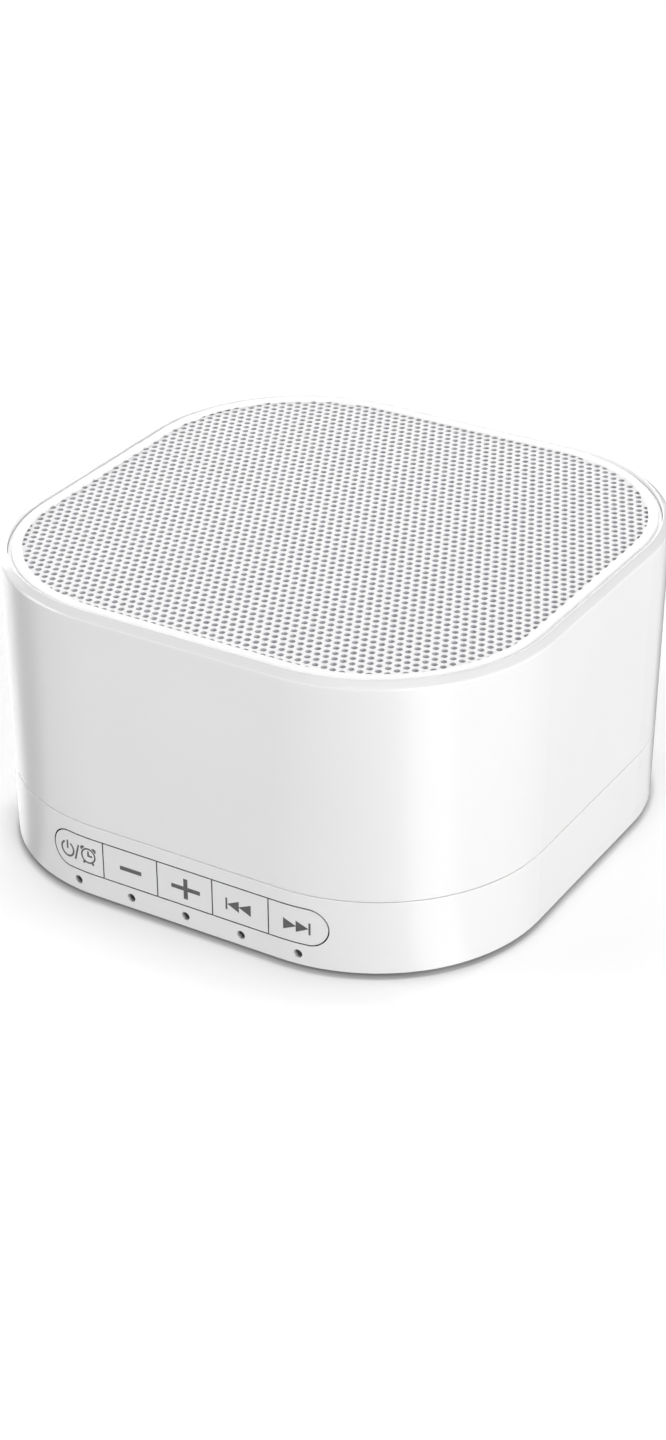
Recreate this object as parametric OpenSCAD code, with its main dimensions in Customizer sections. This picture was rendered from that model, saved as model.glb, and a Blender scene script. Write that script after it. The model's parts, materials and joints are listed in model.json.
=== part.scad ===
// Compact bedside sound machine: two housings screwed together from below, a
// perforated grille over one upward-facing speaker, five push keys wrapped
// round the front, and a jack and a power inlet at the back.
// The front faces -Y, up is +Z and the feet stand on z = 0.

/* [Body] */
// Width across the flats at the lower edge
body_w = 100; // [98:0.5:112]
// Corner radius at the lower edge
corner_r = 31.5; // [30:0.25:33]
// Height from the lower edge to the rim
body_h = 54.6; // [54:0.2:62]
// Outward draft of the outer walls, in degrees
draft = 0.77; // [0.4:0.01:1.2]
// Wall thickness of both housings
wall_t = 2.2; // [2:0.05:2.5]
// Thickness of the lower housing's floor
floor_t = 1.2; // [1:0.05:1.3]
// Height of the lower housing's outer wall
part_h = 14; // [13.2:0.1:16]
// Open seam between the two housings
seam_gap = 0.15; // [0.1:0.05:0.4]
// Chamfer round the lower edge
base_chamfer = 0.2; // [0.2:0.1:0.8]
// Clear height under the lower edge
foot_gap = 0.9; // [0.5:0.1:2]
// Thickness of the lap joint's tongue
tongue_t = 1; // [0.8:0.05:1.2]
// Height of the lap joint's tongue
tongue_h = 2.2; // [1.5:0.1:4]
// Clearance round the tongue
lap_fit = 0.12; // [0.05:0.01:0.2]

/* [Rim and grille] */
// Width of the rim's chamfer, seen from above
rim_chamfer_w = 1.2; // [0.8:0.05:1.3]
// Height of the rim's chamfer
rim_chamfer_h = 1; // [0.6:0.05:1.4]
// Flat width of the rim's lip
rim_lip = 0.25; // [0.15:0.05:0.4]
// Width of the shadow gap round the grille frame
groove_w = 0.6; // [0.3:0.05:0.8]
// Depth of the shadow gap below the frame's face
groove_depth = 0.6; // [0.45:0.05:0.8]
// Clearance between the frame's foot and the rim
frame_fit = 0.1; // [0.05:0.05:0.2]
// How far the grille frame lies below the rim
frame_drop = 0.3; // [0.1:0.05:0.6]
// Visible width of the grille frame
frame_w = 1.9; // [1.7:0.05:2.6]
// Thickness of the frame's edge over the sheet
frame_edge_t = 0.35; // [0.25:0.05:0.6]
// How far the sheet reaches under the frame
sheet_overlap = 1; // [0.6:0.05:1.1]
// Clearance round the sheet's edge
sheet_fit = 0.1; // [0.05:0.05:0.2]
// Thickness of the perforated sheet
sheet_t = 0.8; // [0.6:0.1:1.2]
// Distance between holes in a row, and between rows
hole_pitch = 3; // [2.9:0.1:4]
// Diameter of a hole
hole_d = 1.9; // [1.2:0.1:2.2]
// Thickness of the dust cloth under the sheet
cloth_t = 0.3; // [0.2:0.05:0.6]
// Width of the ledge that carries the sheet
ledge_w = 2.2; // [1.6:0.1:3]
// Thickness of the ledge
ledge_t = 2; // [1.5:0.1:2.4]
// Thickness of the frame's snap tabs
tab_t = 0.6; // [0.5:0.05:0.7]
// Width of a snap tab
tab_w = 5; // [3:0.5:7]
// Distance of the snap tabs from the middle of a side
tab_x = 10; // [6:0.5:13]
// Clearance round a snap tab
tab_fit = 0.1; // [0.05:0.05:0.15]

/* [Keys and lights] */
// Length of the key window
window_l = 54.8; // [50:0.2:56]
// Height of the key window
window_h = 7.3; // [6.4:0.1:7.6]
// Height of the keys' middle over the lower edge
key_mid_h = 7.85; // [7.6:0.05:8.4]
// Number of keys
key_count = 5; // [5]
// Gap round every key
key_gap = 0.25; // [0.15:0.05:0.3]
// Height of the flange above and below a key
key_flange_h = 0.8; // [0.6:0.05:1]
// Clearance between a key's flange and the wall
key_rest_gap = 0.2; // [0.1:0.05:0.3]
// Thickness of a key's flange at the window's ends
key_back_t = 1.05; // [0.9:0.05:1.4]
// Travel of a key
key_travel = 0.35; // [0.2:0.05:0.5]
// Radius of the stem behind a key
key_stem_r = 1.6; // [1.2:0.1:2]
// Length of the stem behind a key
key_stem_l = 0.65; // [0.5:0.05:1]
// Diameter of an indicator hole
light_hole_d = 1.6; // [1.2:0.1:1.7]
// Height of the indicator holes over the lower edge
light_mid_h = 2.2; // [2.1:0.05:2.4]
// How far a light guide ends below the surface
light_recess = 1; // [0.4:0.1:1.2]
// Clearance round a light guide
light_fit = 0.1; // [0.05:0.01:0.2]

/* [Switches] */
// Thickness of the key board
key_board_t = 1.2; // [1:0.1:1.6]
// Length of the key board
key_board_l = 60; // [56:0.5:62]
// Height of the key board
key_board_h = 10.8; // [10.2:0.1:11.2]
// Width and height of a switch
switch_w = 4.5; // [4:0.1:5]
// Depth of a switch
switch_t = 3.4; // [3:0.1:3.6]
// Radius of a switch's plunger
plunger_r = 1; // [0.8:0.05:1.2]
// Radial clearance round a plunger
plunger_fit = 0.06; // [0.03:0.01:0.1]
// Length of a plunger in front of its switch
plunger_out = 0.9; // [0.7:0.1:1.1]
// Length of a plunger inside its switch at rest
plunger_in = 0.5; // [0.4:0.1:0.8]

/* [Speaker] */
// Outer diameter of the speaker
speaker_d = 66; // [64:0.5:67]
// Distance from the rim down to the speaker panel
baffle_drop = 8; // [7.5:0.1:9]
// Thickness of the speaker panel
baffle_t = 2.2; // [2:0.1:3]
// Thickness of the gasket
gasket_t = 0.5; // [0.45:0.05:0.8]
// Width of the gasket
gasket_w = 4; // [3.6:0.1:4.2]
// Thickness of the basket's sheet
basket_t = 0.8; // [0.6:0.05:1]
// Depth of the basket
basket_depth = 12.4; // [12:0.1:13]
// Number of windows in the basket
basket_windows = 6; // [4:1:8]
// Width of the surround's roll
roll_w = 3.6; // [3.2:0.1:4]
// Thickness of the surround
surround_t = 0.4; // [0.3:0.05:0.45]
// Thickness of the cone
cone_t = 0.5; // [0.3:0.05:0.7]
// Depth of the cone
cone_depth = 7; // [6:0.1:7.6]
// Travel of the cone each way
cone_travel = 1; // [0.5:0.1:1.2]
// Radius of the dust cap
cap_r = 9.6; // [9:0.1:11]
// Height of the dust cap
cap_h = 2.4; // [1.8:0.1:3]
// Radius of the magnet
magnet_r = 22.5; // [21:0.1:24]
// Thickness of the magnet
magnet_t = 8; // [6:0.1:8.4]
// Thickness of the top plate
top_plate_t = 2.5; // [2:0.1:3]
// Thickness of the yoke's plate
yoke_t = 3; // [2.5:0.1:3.4]
// Radius of the pole piece
pole_r = 7.5; // [7:0.05:7.6]
// Inner radius of the coil's former
former_r = 8.05; // [8:0.01:8.1]
// Thickness of the coil's former
former_t = 0.2; // [0.15:0.01:0.25]
// Thickness of the winding
winding_t = 0.4; // [0.3:0.01:0.5]
// Height of the winding
winding_h = 4.5; // [4:0.1:5]
// Clearance outside the winding
coil_gap = 0.5; // [0.4:0.05:0.6]

/* [Boards and ports] */
// Width of the main board
board_w = 45; // [42:0.5:45.5]
// Thickness of the main board
board_t = 1.6; // [1.2:0.1:2]
// Height of the main board over the floor
board_lift = 3.1; // [2.8:0.1:3.5]
// Gap between the main board and the back wall
board_gap = 1.3; // [1:0.1:2]
// Distance of the board screws from its edges
board_screw_in = 3.5; // [3.2:0.1:4.5]
// Sideways distance of the jack from the middle
jack_x = 14; // [10:0.5:18]
// Sideways distance of the power inlet from the middle
inlet_x = 13; // [8:0.5:18]
// Bore of the jack
jack_bore_d = 3.6; // [3.5:0.05:3.7]
// Depth of the jack's bore
jack_bore_l = 13; // [11:0.5:14]
// Outer diameter of the jack's nose
jack_nose_d = 6; // [5.6:0.1:6.4]
// Clearance round the ports
port_fit = 0.15; // [0.1:0.05:0.3]
// How far the ports lie below the surface
port_recess = 0.4; // [0.2:0.1:0.8]
// Width of the power inlet's shell
inlet_w = 8.94; // [8.5:0.02:9.2]
// Height of the power inlet's shell
inlet_h = 3.26; // [3:0.02:3.4]
// Length of the power inlet's shell
inlet_l = 7.4; // [7:0.1:9]
// Wall of the power inlet's shell
inlet_t = 0.3; // [0.2:0.05:0.4]

/* [Feet and screws] */
// Distance of the feet from the middle, both ways
foot_xy = 35.5; // [35:0.1:36.5]
// Diameter of a foot
foot_d = 10; // [8:0.5:10.5]
// Depth of a foot's recess
foot_recess = 0.8; // [0.5:0.1:1]
// Clearance round a foot
foot_fit = 0.1; // [0.05:0.05:0.2]
// Distance of the housing screws from the middle, both ways
screw_xy = 27.5; // [27.4:0.05:27.8]
// Radius of the upper housing's screw posts
post_r = 3.5; // [3:0.1:3.6]
// Radius of the lower housing's screw bosses
boss_r = 4.5; // [4.2:0.1:4.6]
// Height of the screw bosses over the floor
boss_h = 5.8; // [5:0.1:6.5]
// Radius of the housing screws' shank
screw_r = 1.5; // [1.2:0.05:1.6]
// Length of the housing screws' shank
screw_l = 16; // [12:0.5:20]
// Radius of the housing screws' head
screw_head_r = 2.8; // [2.5:0.1:2.9]
// Height of the housing screws' head
screw_head_h = 2; // [1.6:0.1:2.4]
// Radial clearance of screws in their holes
screw_fit = 0.08; // [0.05:0.01:0.1]
// Radius of the small screws' shank
small_screw_r = 1; // [0.9:0.05:1.1]
// Radius of the small screws' head
small_head_r = 2.1; // [1.9:0.05:2.2]

/* [Hidden] */

corner_fn = 96;
round_fn = 48;
small_fn = 24;
reach = 0.5;   // how far a joined solid reaches into its neighbour
core = body_w/2 - corner_r;   // from the middle to a corner's centre

// Heights of the housings
base_z = foot_gap;
floor_z = base_z + floor_t;
part_z = base_z + part_h;
rim_z = base_z + body_h;

// Rim and grille, from the top down
frame_z = rim_z - frame_drop;
sheet_top_z = frame_z - frame_edge_t;
sheet_z = sheet_top_z - sheet_t;
ledge_z = sheet_z - cloth_t;
rim_shoulder_z = rim_z - rim_chamfer_h;
rim_outer_r = outer_r(rim_shoulder_z) - rim_chamfer_w;
rim_inner_r = rim_outer_r - rim_lip;
frame_outer_r = rim_inner_r - groove_w;
frame_foot_r = rim_inner_r - frame_fit;
groove_floor_z = frame_z - groove_depth;
frame_inner_r = frame_outer_r - frame_w;
sheet_r = frame_inner_r + sheet_overlap;
sheet_pocket_r = sheet_r + sheet_fit;
ledge_r = sheet_r - ledge_w;
soft_edge = 0.12;   // eased inner edge of the frame
frame_edge = 0.3;   // eased outer edge of the frame
lip_edge = 0.4*rim_lip;
rim_edge = 0.4;   // eased edge between the wall and the rim's chamfer
seam_edge = 0.12;   // eased edges along the seam
catch_z = ledge_z - ledge_t;   // underside of the ledge at a snap tab
tab_depth = ledge_t + 2;
tab_hook = 0.4;
tab_outer_r = frame_outer_r - tab_fit;

// Speaker, from the panel down
baffle_z = rim_z - baffle_drop - baffle_t;
flange_z = baffle_z - gasket_t;
flange_r = speaker_d/2;
gasket_r = flange_r - gasket_w;
basket_z = flange_z - basket_depth;
surround_rim = 2.2;
surround_r = gasket_r - 0.2;
roll_out_r = surround_r - surround_rim;
roll_r = roll_w/2;
roll_mid_r = roll_out_r - roll_r;
baffle_hole_r = surround_r - 0.8;
neck_r = roll_out_r + 0.6;
shelf_r = 20.2;
seat_r = 17;
plate_r = seat_r + 2;
shelf_rise = 1.8;
speaker_screw_r = gasket_r + gasket_w*0.4;
pad_r = 2.2;   // pads over the speaker screws
pad_h = 3;
rib_h = 18;   // ribs between the screw posts and the corners
small_head_h = 1.4;
top_plate_z = basket_z - top_plate_t;
magnet_z = top_plate_z - magnet_t;
yoke_z = magnet_z - yoke_t;
former_out_r = former_r + former_t;
winding_r = former_out_r + winding_t;
gap_r = winding_r + coil_gap;
cone_neck_z = flange_z - cone_depth;
winding_z = top_plate_z + top_plate_t/2 - winding_h/2;
terminal_t = 1.2;
terminal_out = 6;   // how far the strip stands out of the basket
terminal_z = basket_z + shelf_rise - terminal_t;
terminal_end = shelf_r + terminal_out;
lug_l = 2.4;
former_z = winding_z - 1.5;
former_top = cone_neck_z + cone_t + 0.2;
glue_gap = 0.05;   // between glued parts of the moving cone

// Keys, lights and switches
key_mid_z = base_z + key_mid_h;
light_z = base_z + light_mid_h;
front_y = -body_w/2;
window_back_y = -reach_at(window_l/2, inner_r(key_mid_z)) + 0.5;
key_back_y = -reach_at(window_l/2 + key_flange_h, inner_r(key_mid_z)) + key_rest_gap + key_back_t;
stem_gap = 0.05;
plunger_tip_y = key_back_y + key_stem_l + stem_gap;
switch_front_y = plunger_tip_y + plunger_out;
key_board_front_y = switch_front_y + switch_t;
light_l = 1;
light_bar_t = 1.4;
key_cell = window_l/key_count;
window_r = window_h/2;
light_back_y = key_board_front_y - light_l;
light_bar_y = key_board_front_y - 5.5;
KEYS = [for (i = [0:key_count - 1]) (i - (key_count - 1)/2)*key_cell];

// Boards and ports
board_z = floor_z + board_lift;
board_top_z = board_z + board_t;
board_back_y = inner_half(board_z) - board_gap;
header_back_y = key_board_front_y + key_board_t + 5.4;
header_w = 2.5;
pin_pitch = 2.54;
board_front_y = header_back_y - header_w - 0.1;
jack_z = board_top_z + 2.6;
jack_w = 6.6;
jack_h = 5.4;
jack_end_y = board_back_y + 0.6;   // the jack's body ends behind the board's edge
inlet_z = board_top_z + inlet_h/2;
port_y = outer_half(inlet_z) - port_recess;
lead_side = 2.5;   // half the distance between the speaker's two leads
plug_at = [board_w/2 - 5, 20];
plug_h = 6;
terminal_w = 10;

// Places of the chips and capacitors on the main board
main_chip_at = [-4, 4];
amplifier_at = [6, 18];
memory_at = [-6, -10];
large_capacitor_at = [-14, 22];
small_capacitor_at = [14, -12];
main_chip_size = [10.3, 7.5];
small_chip_size = [4.9, 3.9];
chip_h = 1.6;
leg_pitch = 1.27;
large_capacitor_size = [4, 9];   // radius and height
small_capacitor_size = [3.15, 7];

// Half the body's width at a distance from the middle, for a radius round the corners' centres
function reach_at(x, r) = let (over = max(abs(x) - core, 0)) core + sqrt(max(r*r - over*over, 0));

// Outer and inner surfaces, as half widths and as radii round a corner's centre
function outer_half(z) = body_w/2 + tan(draft)*(z - base_z);
function inner_half(z) = outer_half(z) - wall_t;
function outer_r(z) = outer_half(z) - core;
function inner_r(z) = outer_r(z) - wall_t;

function unit(v) = v/norm(v);

// Points of a profile's corner b between a and c, eased over a length to each side
function eased(a, b, c, cut, steps = 3) = let (p = b + cut*unit(a - b), q = b + cut*unit(c - b))
  [for (k = [0:steps]) let (t = k/steps) (1 - t)*(1 - t)*p + 2*t*(1 - t)*b + t*t*q];

// A profile of radius and height, carried round the body's rounded square
module swept_wall() {
  for (turn = [0:90:270]) rotate([0, 0, turn]) translate([core, core, 0]) {
    rotate_extrude(angle = 90, $fn = corner_fn) children();
    rotate([90, 0, 0]) linear_extrude(height = 2*core) children();
  }
}

// The body's own drafted form between two heights, set in from its surface
module drafted_block(z0, z1, inset) {
  swept_wall() polygon([
    [0, z0], [outer_r(z0) - inset, z0], [outer_r(z1) - inset, z1], [0, z1]
  ]);
  translate([-core, -core, z0]) cube([2*core, 2*core, z1 - z0]);
}

// The body's rounded square at a radius round its corners
module rounded_square(r) {
  square([2*(core + r), 2*core], center = true);
  square([2*core, 2*(core + r)], center = true);
  for (x = [-core, core], y = [-core, core]) translate([x, y]) circle(r = r, $fn = corner_fn);
}

module stadium(l, h) {
  square([l - h, h], center = true);
  for (x = [-1, 1]) translate([x*(l - h)/2, 0]) circle(d = h, $fn = round_fn);
}

// Children at the four corners of a square
module four(xy) {
  for (x = [-xy, xy], y = [-xy, xy]) translate([x, y, 0]) children();
}

// Children turned to the four sides, with their own +X outwards
module each_side() {
  for (turn = [0:90:270]) rotate([0, 0, turn]) children();
}

// A flat outline in X and Z, carried from one Y to another
module along_y(y0, y1) {
  translate([0, y1, 0]) rotate([90, 0, 0]) linear_extrude(height = y1 - y0) children();
}

module ring(r_out, r_in, z, h) {
  translate([0, 0, z]) difference() {
    cylinder(r = r_out, h = h, $fn = corner_fn);
    translate([0, 0, -1]) cylinder(r = r_in, h = h + 2, $fn = corner_fn);
  }
}

module revolved() {
  rotate_extrude($fn = corner_fn) children();
}

// ---- Housings ----

module upper_wall() {
  bottom_z = part_z + seam_gap;
  lap_z = part_z + tongue_h + lap_fit;
  lap_r = inner_r(part_z) + tongue_t + lap_fit;
  slope_end_z = catch_z - 2.5;
  foot = [outer_r(bottom_z), bottom_z];
  shoulder = [outer_r(rim_shoulder_z), rim_shoulder_z];
  lip_out = [rim_outer_r, rim_z];
  lip_in = [rim_inner_r, rim_z];
  step = [rim_inner_r, ledge_z];
  lap = [lap_r, bottom_z];
  swept_wall() polygon(concat(
    eased(lap, foot, shoulder, seam_edge, 2),
    eased(foot, shoulder, lip_out, rim_edge),
    eased(shoulder, lip_out, lip_in, lip_edge, 2),
    eased(lip_out, lip_in, step, lip_edge, 2),
    [
      step,
      [ledge_r, ledge_z],
      [ledge_r, catch_z],
      [inner_r(slope_end_z), slope_end_z],
      [inner_r(lap_z), lap_z],
      [lap_r, lap_z],
      lap
    ]
  ));
}

module upper_housing() {
  post_z = floor_z + boss_h;
  post_top = baffle_z + reach;
  rib_z = baffle_z - rib_h;
  rib_from = screw_xy*sqrt(2);
  rib_to = core*sqrt(2) + inner_r(rib_z) + reach;
  rib_t = 1.5;
  pilot_top = pilot_end();
  color("white") difference() {
    union() {
      upper_wall();
      translate([0, 0, baffle_z]) linear_extrude(height = baffle_t) difference() {
        rounded_square(inner_r(baffle_z) + reach);
        circle(r = baffle_hole_r, $fn = corner_fn);
      }
      four(screw_xy) translate([0, 0, post_z])
        cylinder(r = post_r, h = post_top - post_z, $fn = round_fn);
      for (turn = [45:90:315]) rotate([0, 0, turn]) {
        translate([rib_from, -rib_t/2, rib_z]) cube([rib_to - rib_from, rib_t, post_top - rib_z]);
        translate([speaker_screw_r, 0, baffle_z + baffle_t - reach])
          cylinder(r = pad_r, h = pad_h + reach, $fn = round_fn);
      }
    }
    four(screw_xy) translate([0, 0, post_z - 1])
      cylinder(r = screw_r + screw_fit, h = pilot_top - post_z + 1, $fn = round_fn);
    for (turn = [45:90:315]) rotate([0, 0, turn])
      translate([speaker_screw_r, 0, baffle_z - 1])
        cylinder(r = small_screw_r + screw_fit, h = baffle_t + pad_h, $fn = small_fn);
    each_side() for (y = [-tab_x, tab_x]) translate([0, y - tab_w/2 - tab_fit, 0]) tab_slot();
  }
}

// Slot for a snap tab, with a flat place under the ledge that its hook catches
module tab_slot() {
  outer_x = core + tab_outer_r + tab_fit;
  slot_x = outer_x - tab_t - 2*tab_fit;
  pocket_x = core + ledge_r - 1;
  pocket_z = ledge_z - tab_depth - 1;
  slot_w = tab_w + 2*tab_fit;
  translate([slot_x, 0, pocket_z]) cube([outer_x - slot_x, slot_w, ledge_z + 0.5 - pocket_z]);
  translate([pocket_x, 0, pocket_z]) cube([outer_x - pocket_x, slot_w, catch_z - pocket_z]);
}

function screw_head_z() = floor_z + boss_h - 4;
function pilot_end() = screw_head_z() + screw_l + 1;

module lower_wall() {
  tongue_top = part_z + tongue_h;
  tongue_r = inner_r(part_z) + tongue_t;
  bottom_in = [inner_r(base_z), base_z];
  bottom_out = [outer_r(base_z) - base_chamfer, base_z];
  side_low = [outer_r(base_z + base_chamfer), base_z + base_chamfer];
  side_top = [outer_r(part_z), part_z];
  tongue_foot = [tongue_r, part_z];
  swept_wall() polygon(concat(
    [bottom_in],
    eased(bottom_in, bottom_out, side_low, base_chamfer/3, 2),
    eased(bottom_out, side_low, side_top, base_chamfer/3, 2),
    eased(side_low, side_top, tongue_foot, seam_edge, 2),
    [tongue_foot, [tongue_r, tongue_top], [inner_r(tongue_top), tongue_top]]
  ));
}

// Posts with a slot that hold one end of the key board each
module key_board_posts() {
  post_w = 4;
  post_h = key_board_h - 2;
  post_wall = 1.4;
  gap = 0.05;
  slot_t = key_board_t + 2*gap;
  slot_y = key_board_front_y - gap;
  for (side = [-1, 1]) difference() {
    translate([side*key_board_l/2 - post_w/2, slot_y - post_wall, floor_z - reach])
      cube([post_w, slot_t + 2*post_wall, post_h + reach]);
    translate([side*(key_board_l/2 - post_w/2 + 2*gap) - post_w/2, slot_y, floor_z])
      cube([post_w, slot_t, post_h + 1]);
  }
}

// The main board's four screws, the back pair in front of the ports
module board_posts() {
  back_y = board_back_y - jack_bore_l - board_screw_in;
  for (x = [-1, 1], y = [board_front_y + board_screw_in, back_y])
    translate([x*(board_w/2 - board_screw_in), y, 0]) children();
}

module lower_housing() {
  head_z = screw_head_z();
  head_fit = 0.3;
  foot_rim = 1.2;
  board_post_r = 2.8;
  color("white") difference() {
    union() {
      lower_wall();
      translate([0, 0, base_z]) linear_extrude(height = floor_t)
        rounded_square(inner_r(base_z) + reach);
      four(screw_xy) translate([0, 0, floor_z - reach])
        cylinder(r = boss_r, h = boss_h + reach, $fn = round_fn);
      four(foot_xy) translate([0, 0, floor_z - reach])
        cylinder(d = foot_d + 2*foot_rim, h = foot_recess + reach, $fn = round_fn);
      board_posts() translate([0, 0, floor_z - reach])
        cylinder(r = board_post_r, h = board_lift + reach, $fn = round_fn);
      key_board_posts();
    }
    along_y(front_y - 1, window_back_y) translate([0, key_mid_z]) stadium(window_l, window_h);
    for (x = KEYS) translate([x, front_y - 1, light_z]) rotate([-90, 0, 0])
      cylinder(d = light_hole_d, h = window_back_y - front_y + 1, $fn = small_fn);
    four(screw_xy) {
      translate([0, 0, base_z - 1])
        cylinder(r = screw_head_r + head_fit, h = head_z - base_z + 1, $fn = round_fn);
      translate([0, 0, head_z - 0.5])
        cylinder(r = screw_r + screw_fit, h = boss_h + 1, $fn = round_fn);
    }
    four(foot_xy) translate([0, 0, base_z - 1])
      cylinder(d = foot_d + 2*foot_fit, h = foot_recess + 1, $fn = round_fn);
    board_posts() translate([0, 0, floor_z + 0.2])
      cylinder(r = small_screw_r + screw_fit, h = board_lift + 1, $fn = small_fn);
    translate([-jack_x, inner_half(jack_z) - 1, jack_z]) rotate([-90, 0, 0])
      cylinder(d = jack_nose_d + 2*port_fit, h = wall_t + 3, $fn = round_fn);
    along_y(inner_half(inlet_z) - 1, outer_half(inlet_z) + 2) translate([inlet_x, inlet_z])
      stadium(inlet_w + 2*port_fit, inlet_h + 2*port_fit);
  }
}

// ---- Grille ----

// Frame that covers the sheet's edge and snaps into slots in the ledge
module grille_frame() {
  tab_x0 = core + tab_outer_r - tab_t;
  hook_z = catch_z - 0.1;
  color("white") {
    swept_wall() polygon(concat(
      [[frame_inner_r, sheet_top_z]],
      eased([frame_inner_r, sheet_top_z], [frame_inner_r, frame_z], [frame_outer_r, frame_z], soft_edge, 2),
      eased([frame_inner_r, frame_z], [frame_outer_r, frame_z], [frame_outer_r, groove_floor_z], frame_edge, 3),
      [
        [frame_outer_r, groove_floor_z],
        [frame_foot_r, groove_floor_z],
        [frame_foot_r, ledge_z],
        [sheet_pocket_r, ledge_z],
        [sheet_pocket_r, sheet_top_z]
      ]
    ));
    each_side() for (y = [-tab_x, tab_x])
      translate([tab_x0, y + tab_w/2, 0]) rotate([90, 0, 0]) linear_extrude(height = tab_w)
        polygon([
          [0, ledge_z + 0.3], [tab_t, ledge_z + 0.3], [tab_t, ledge_z - tab_depth],
          [0, ledge_z - tab_depth], [-tab_hook, hook_z - 0.4], [0, hook_z]
        ]);
  }
}

module hole_row(y, shift, limit_r) {
  half = reach_at(y, limit_r);
  n = floor((half - shift)/hole_pitch);
  for (i = [-n - (shift > 0 ? 1 : 0):n]) translate([i*hole_pitch + shift, y])
    circle(d = hole_d, $fn = small_fn);
}

// Staggered holes, row by row: each row's strip is pierced by itself, and the strips join up
module perforated_grille() {
  hole_edge_r = sheet_r - 0.3 - hole_d/2;
  last_row = floor((core + hole_edge_r)/hole_pitch);
  function strip_half(j) = reach_at((abs(j) + 0.5)*hole_pitch, sheet_r - 0.1);
  color("gainsboro") translate([0, 0, sheet_z]) linear_extrude(height = sheet_t) {
    for (j = [-last_row:last_row]) difference() {
      translate([0, j*hole_pitch]) square([2*strip_half(j), hole_pitch], center = true);
      hole_row(j*hole_pitch, j % 2 == 0 ? 0 : hole_pitch/2, hole_edge_r);
    }
    difference() {
      rounded_square(sheet_r);
      for (j = [-last_row:last_row]) translate([0, j*hole_pitch])
        square([2*strip_half(j), hole_pitch], center = true);
    }
  }
}

module grille_cloth() {
  color("dimgray") translate([0, 0, ledge_z]) linear_extrude(height = cloth_t)
    rounded_square(sheet_r);
}

// ---- Keys, switches and lights ----

// Outline of one key or its flange: its share of the stadium, grown outwards by edge
module key_outline(i, gap, edge) {
  x0 = KEYS[i] - key_cell/2 + (i == 0 ? -edge : key_gap/2);
  x1 = KEYS[i] + key_cell/2 - (i == key_count - 1 ? -edge : key_gap/2);
  intersection() {
    stadium(window_l - 2*gap + 2*edge, window_h - 2*gap + 2*edge);
    translate([x0, -window_h]) square([x1 - x0, 2*window_h]);
  }
}

module key(i) {
  z0 = key_mid_z - window_h;
  z1 = key_mid_z + window_h;
  stem_y = plunger_tip_y - stem_gap;
  color("white") {
    intersection() {
      drafted_block(z0, z1, 0);
      along_y(front_y - 2, key_back_y) translate([0, key_mid_z]) key_outline(i, key_gap, 0);
    }
    intersection() {
      drafted_block(z0, z1, wall_t + key_rest_gap);
      along_y(front_y - 2, key_back_y) translate([0, key_mid_z])
        key_outline(i, 0, key_flange_h);
    }
    translate([KEYS[i], key_back_y - reach, key_mid_z]) rotate([-90, 0, 0])
      cylinder(r = key_stem_r, h = stem_y - key_back_y + reach, $fn = small_fn);
  }
}

module plunger(i) {
  color("dimgray") translate([KEYS[i], plunger_tip_y, key_mid_z]) rotate([-90, 0, 0])
    cylinder(r = plunger_r, h = plunger_out + plunger_in, $fn = small_fn);
}

module tact_switch(i) {
  bore_l = plunger_in + key_travel + 0.3;
  color("dimgray") difference() {
    translate([KEYS[i] - switch_w/2, switch_front_y, key_mid_z - switch_w/2])
      cube([switch_w, switch_t, switch_w]);
    translate([KEYS[i], switch_front_y - 1, key_mid_z]) rotate([-90, 0, 0])
      cylinder(r = plunger_r + plunger_fit, h = bore_l + 1, $fn = small_fn);
  }
}

module indicator_light(i) {
  w = 1.6;
  h = 0.8;
  color("ivory") translate([KEYS[i] - w/2, light_back_y, light_z - h/2]) cube([w, light_l, h]);
}

// Five pins on one bar, in front of the lights
module light_guide() {
  pin_r = light_hole_d/2 - light_fit;
  gap = 0.1;
  bar_end = 2;
  color("whitesmoke") {
    for (x = KEYS) {
      tip_y = pin_tip(x);
      translate([x, tip_y, light_z]) rotate([-90, 0, 0])
        cylinder(r = pin_r, h = light_back_y - gap - tip_y, $fn = small_fn);
    }
    translate([KEYS[0] - bar_end, light_bar_y, light_z - pin_r])
      cube([KEYS[key_count - 1] - KEYS[0] + 2*bar_end, light_bar_t, 2*pin_r]);
  }
}

function pin_tip(x) = -reach_at(x, outer_r(light_z)) + light_recess;

module key_board() {
  color("seagreen") translate([-key_board_l/2, key_board_front_y, floor_z])
    cube([key_board_l, key_board_t, key_board_h]);
}

module board_header() {
  l = 5*pin_pitch;
  color("black") translate([-l/2, header_back_y - header_w, board_top_z]) cube([l, header_w, header_w]);
}

// Five pins from the key board's back into the header's front
module header_pins() {
  w = 0.64;
  back_y = key_board_front_y + key_board_t;
  pin_l = header_back_y - header_w - back_y;
  color("gold") for (x = [-2*pin_pitch:pin_pitch:2*pin_pitch])
    translate([x - w/2, back_y, board_top_z + header_w/2 - w/2]) cube([w, pin_l, w]);
}

// ---- Speaker ----

module speaker_screw_spots() {
  for (turn = [45:90:315]) rotate([0, 0, turn]) translate([speaker_screw_r, 0, 0]) children();
}

module speaker_gasket() {
  color("dimgray") difference() {
    ring(flange_r, gasket_r, flange_z, gasket_t);
    speaker_screw_spots() translate([0, 0, flange_z - 1])
      cylinder(r = small_screw_r + screw_fit, h = gasket_t + 2, $fn = small_fn);
  }
}

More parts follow.
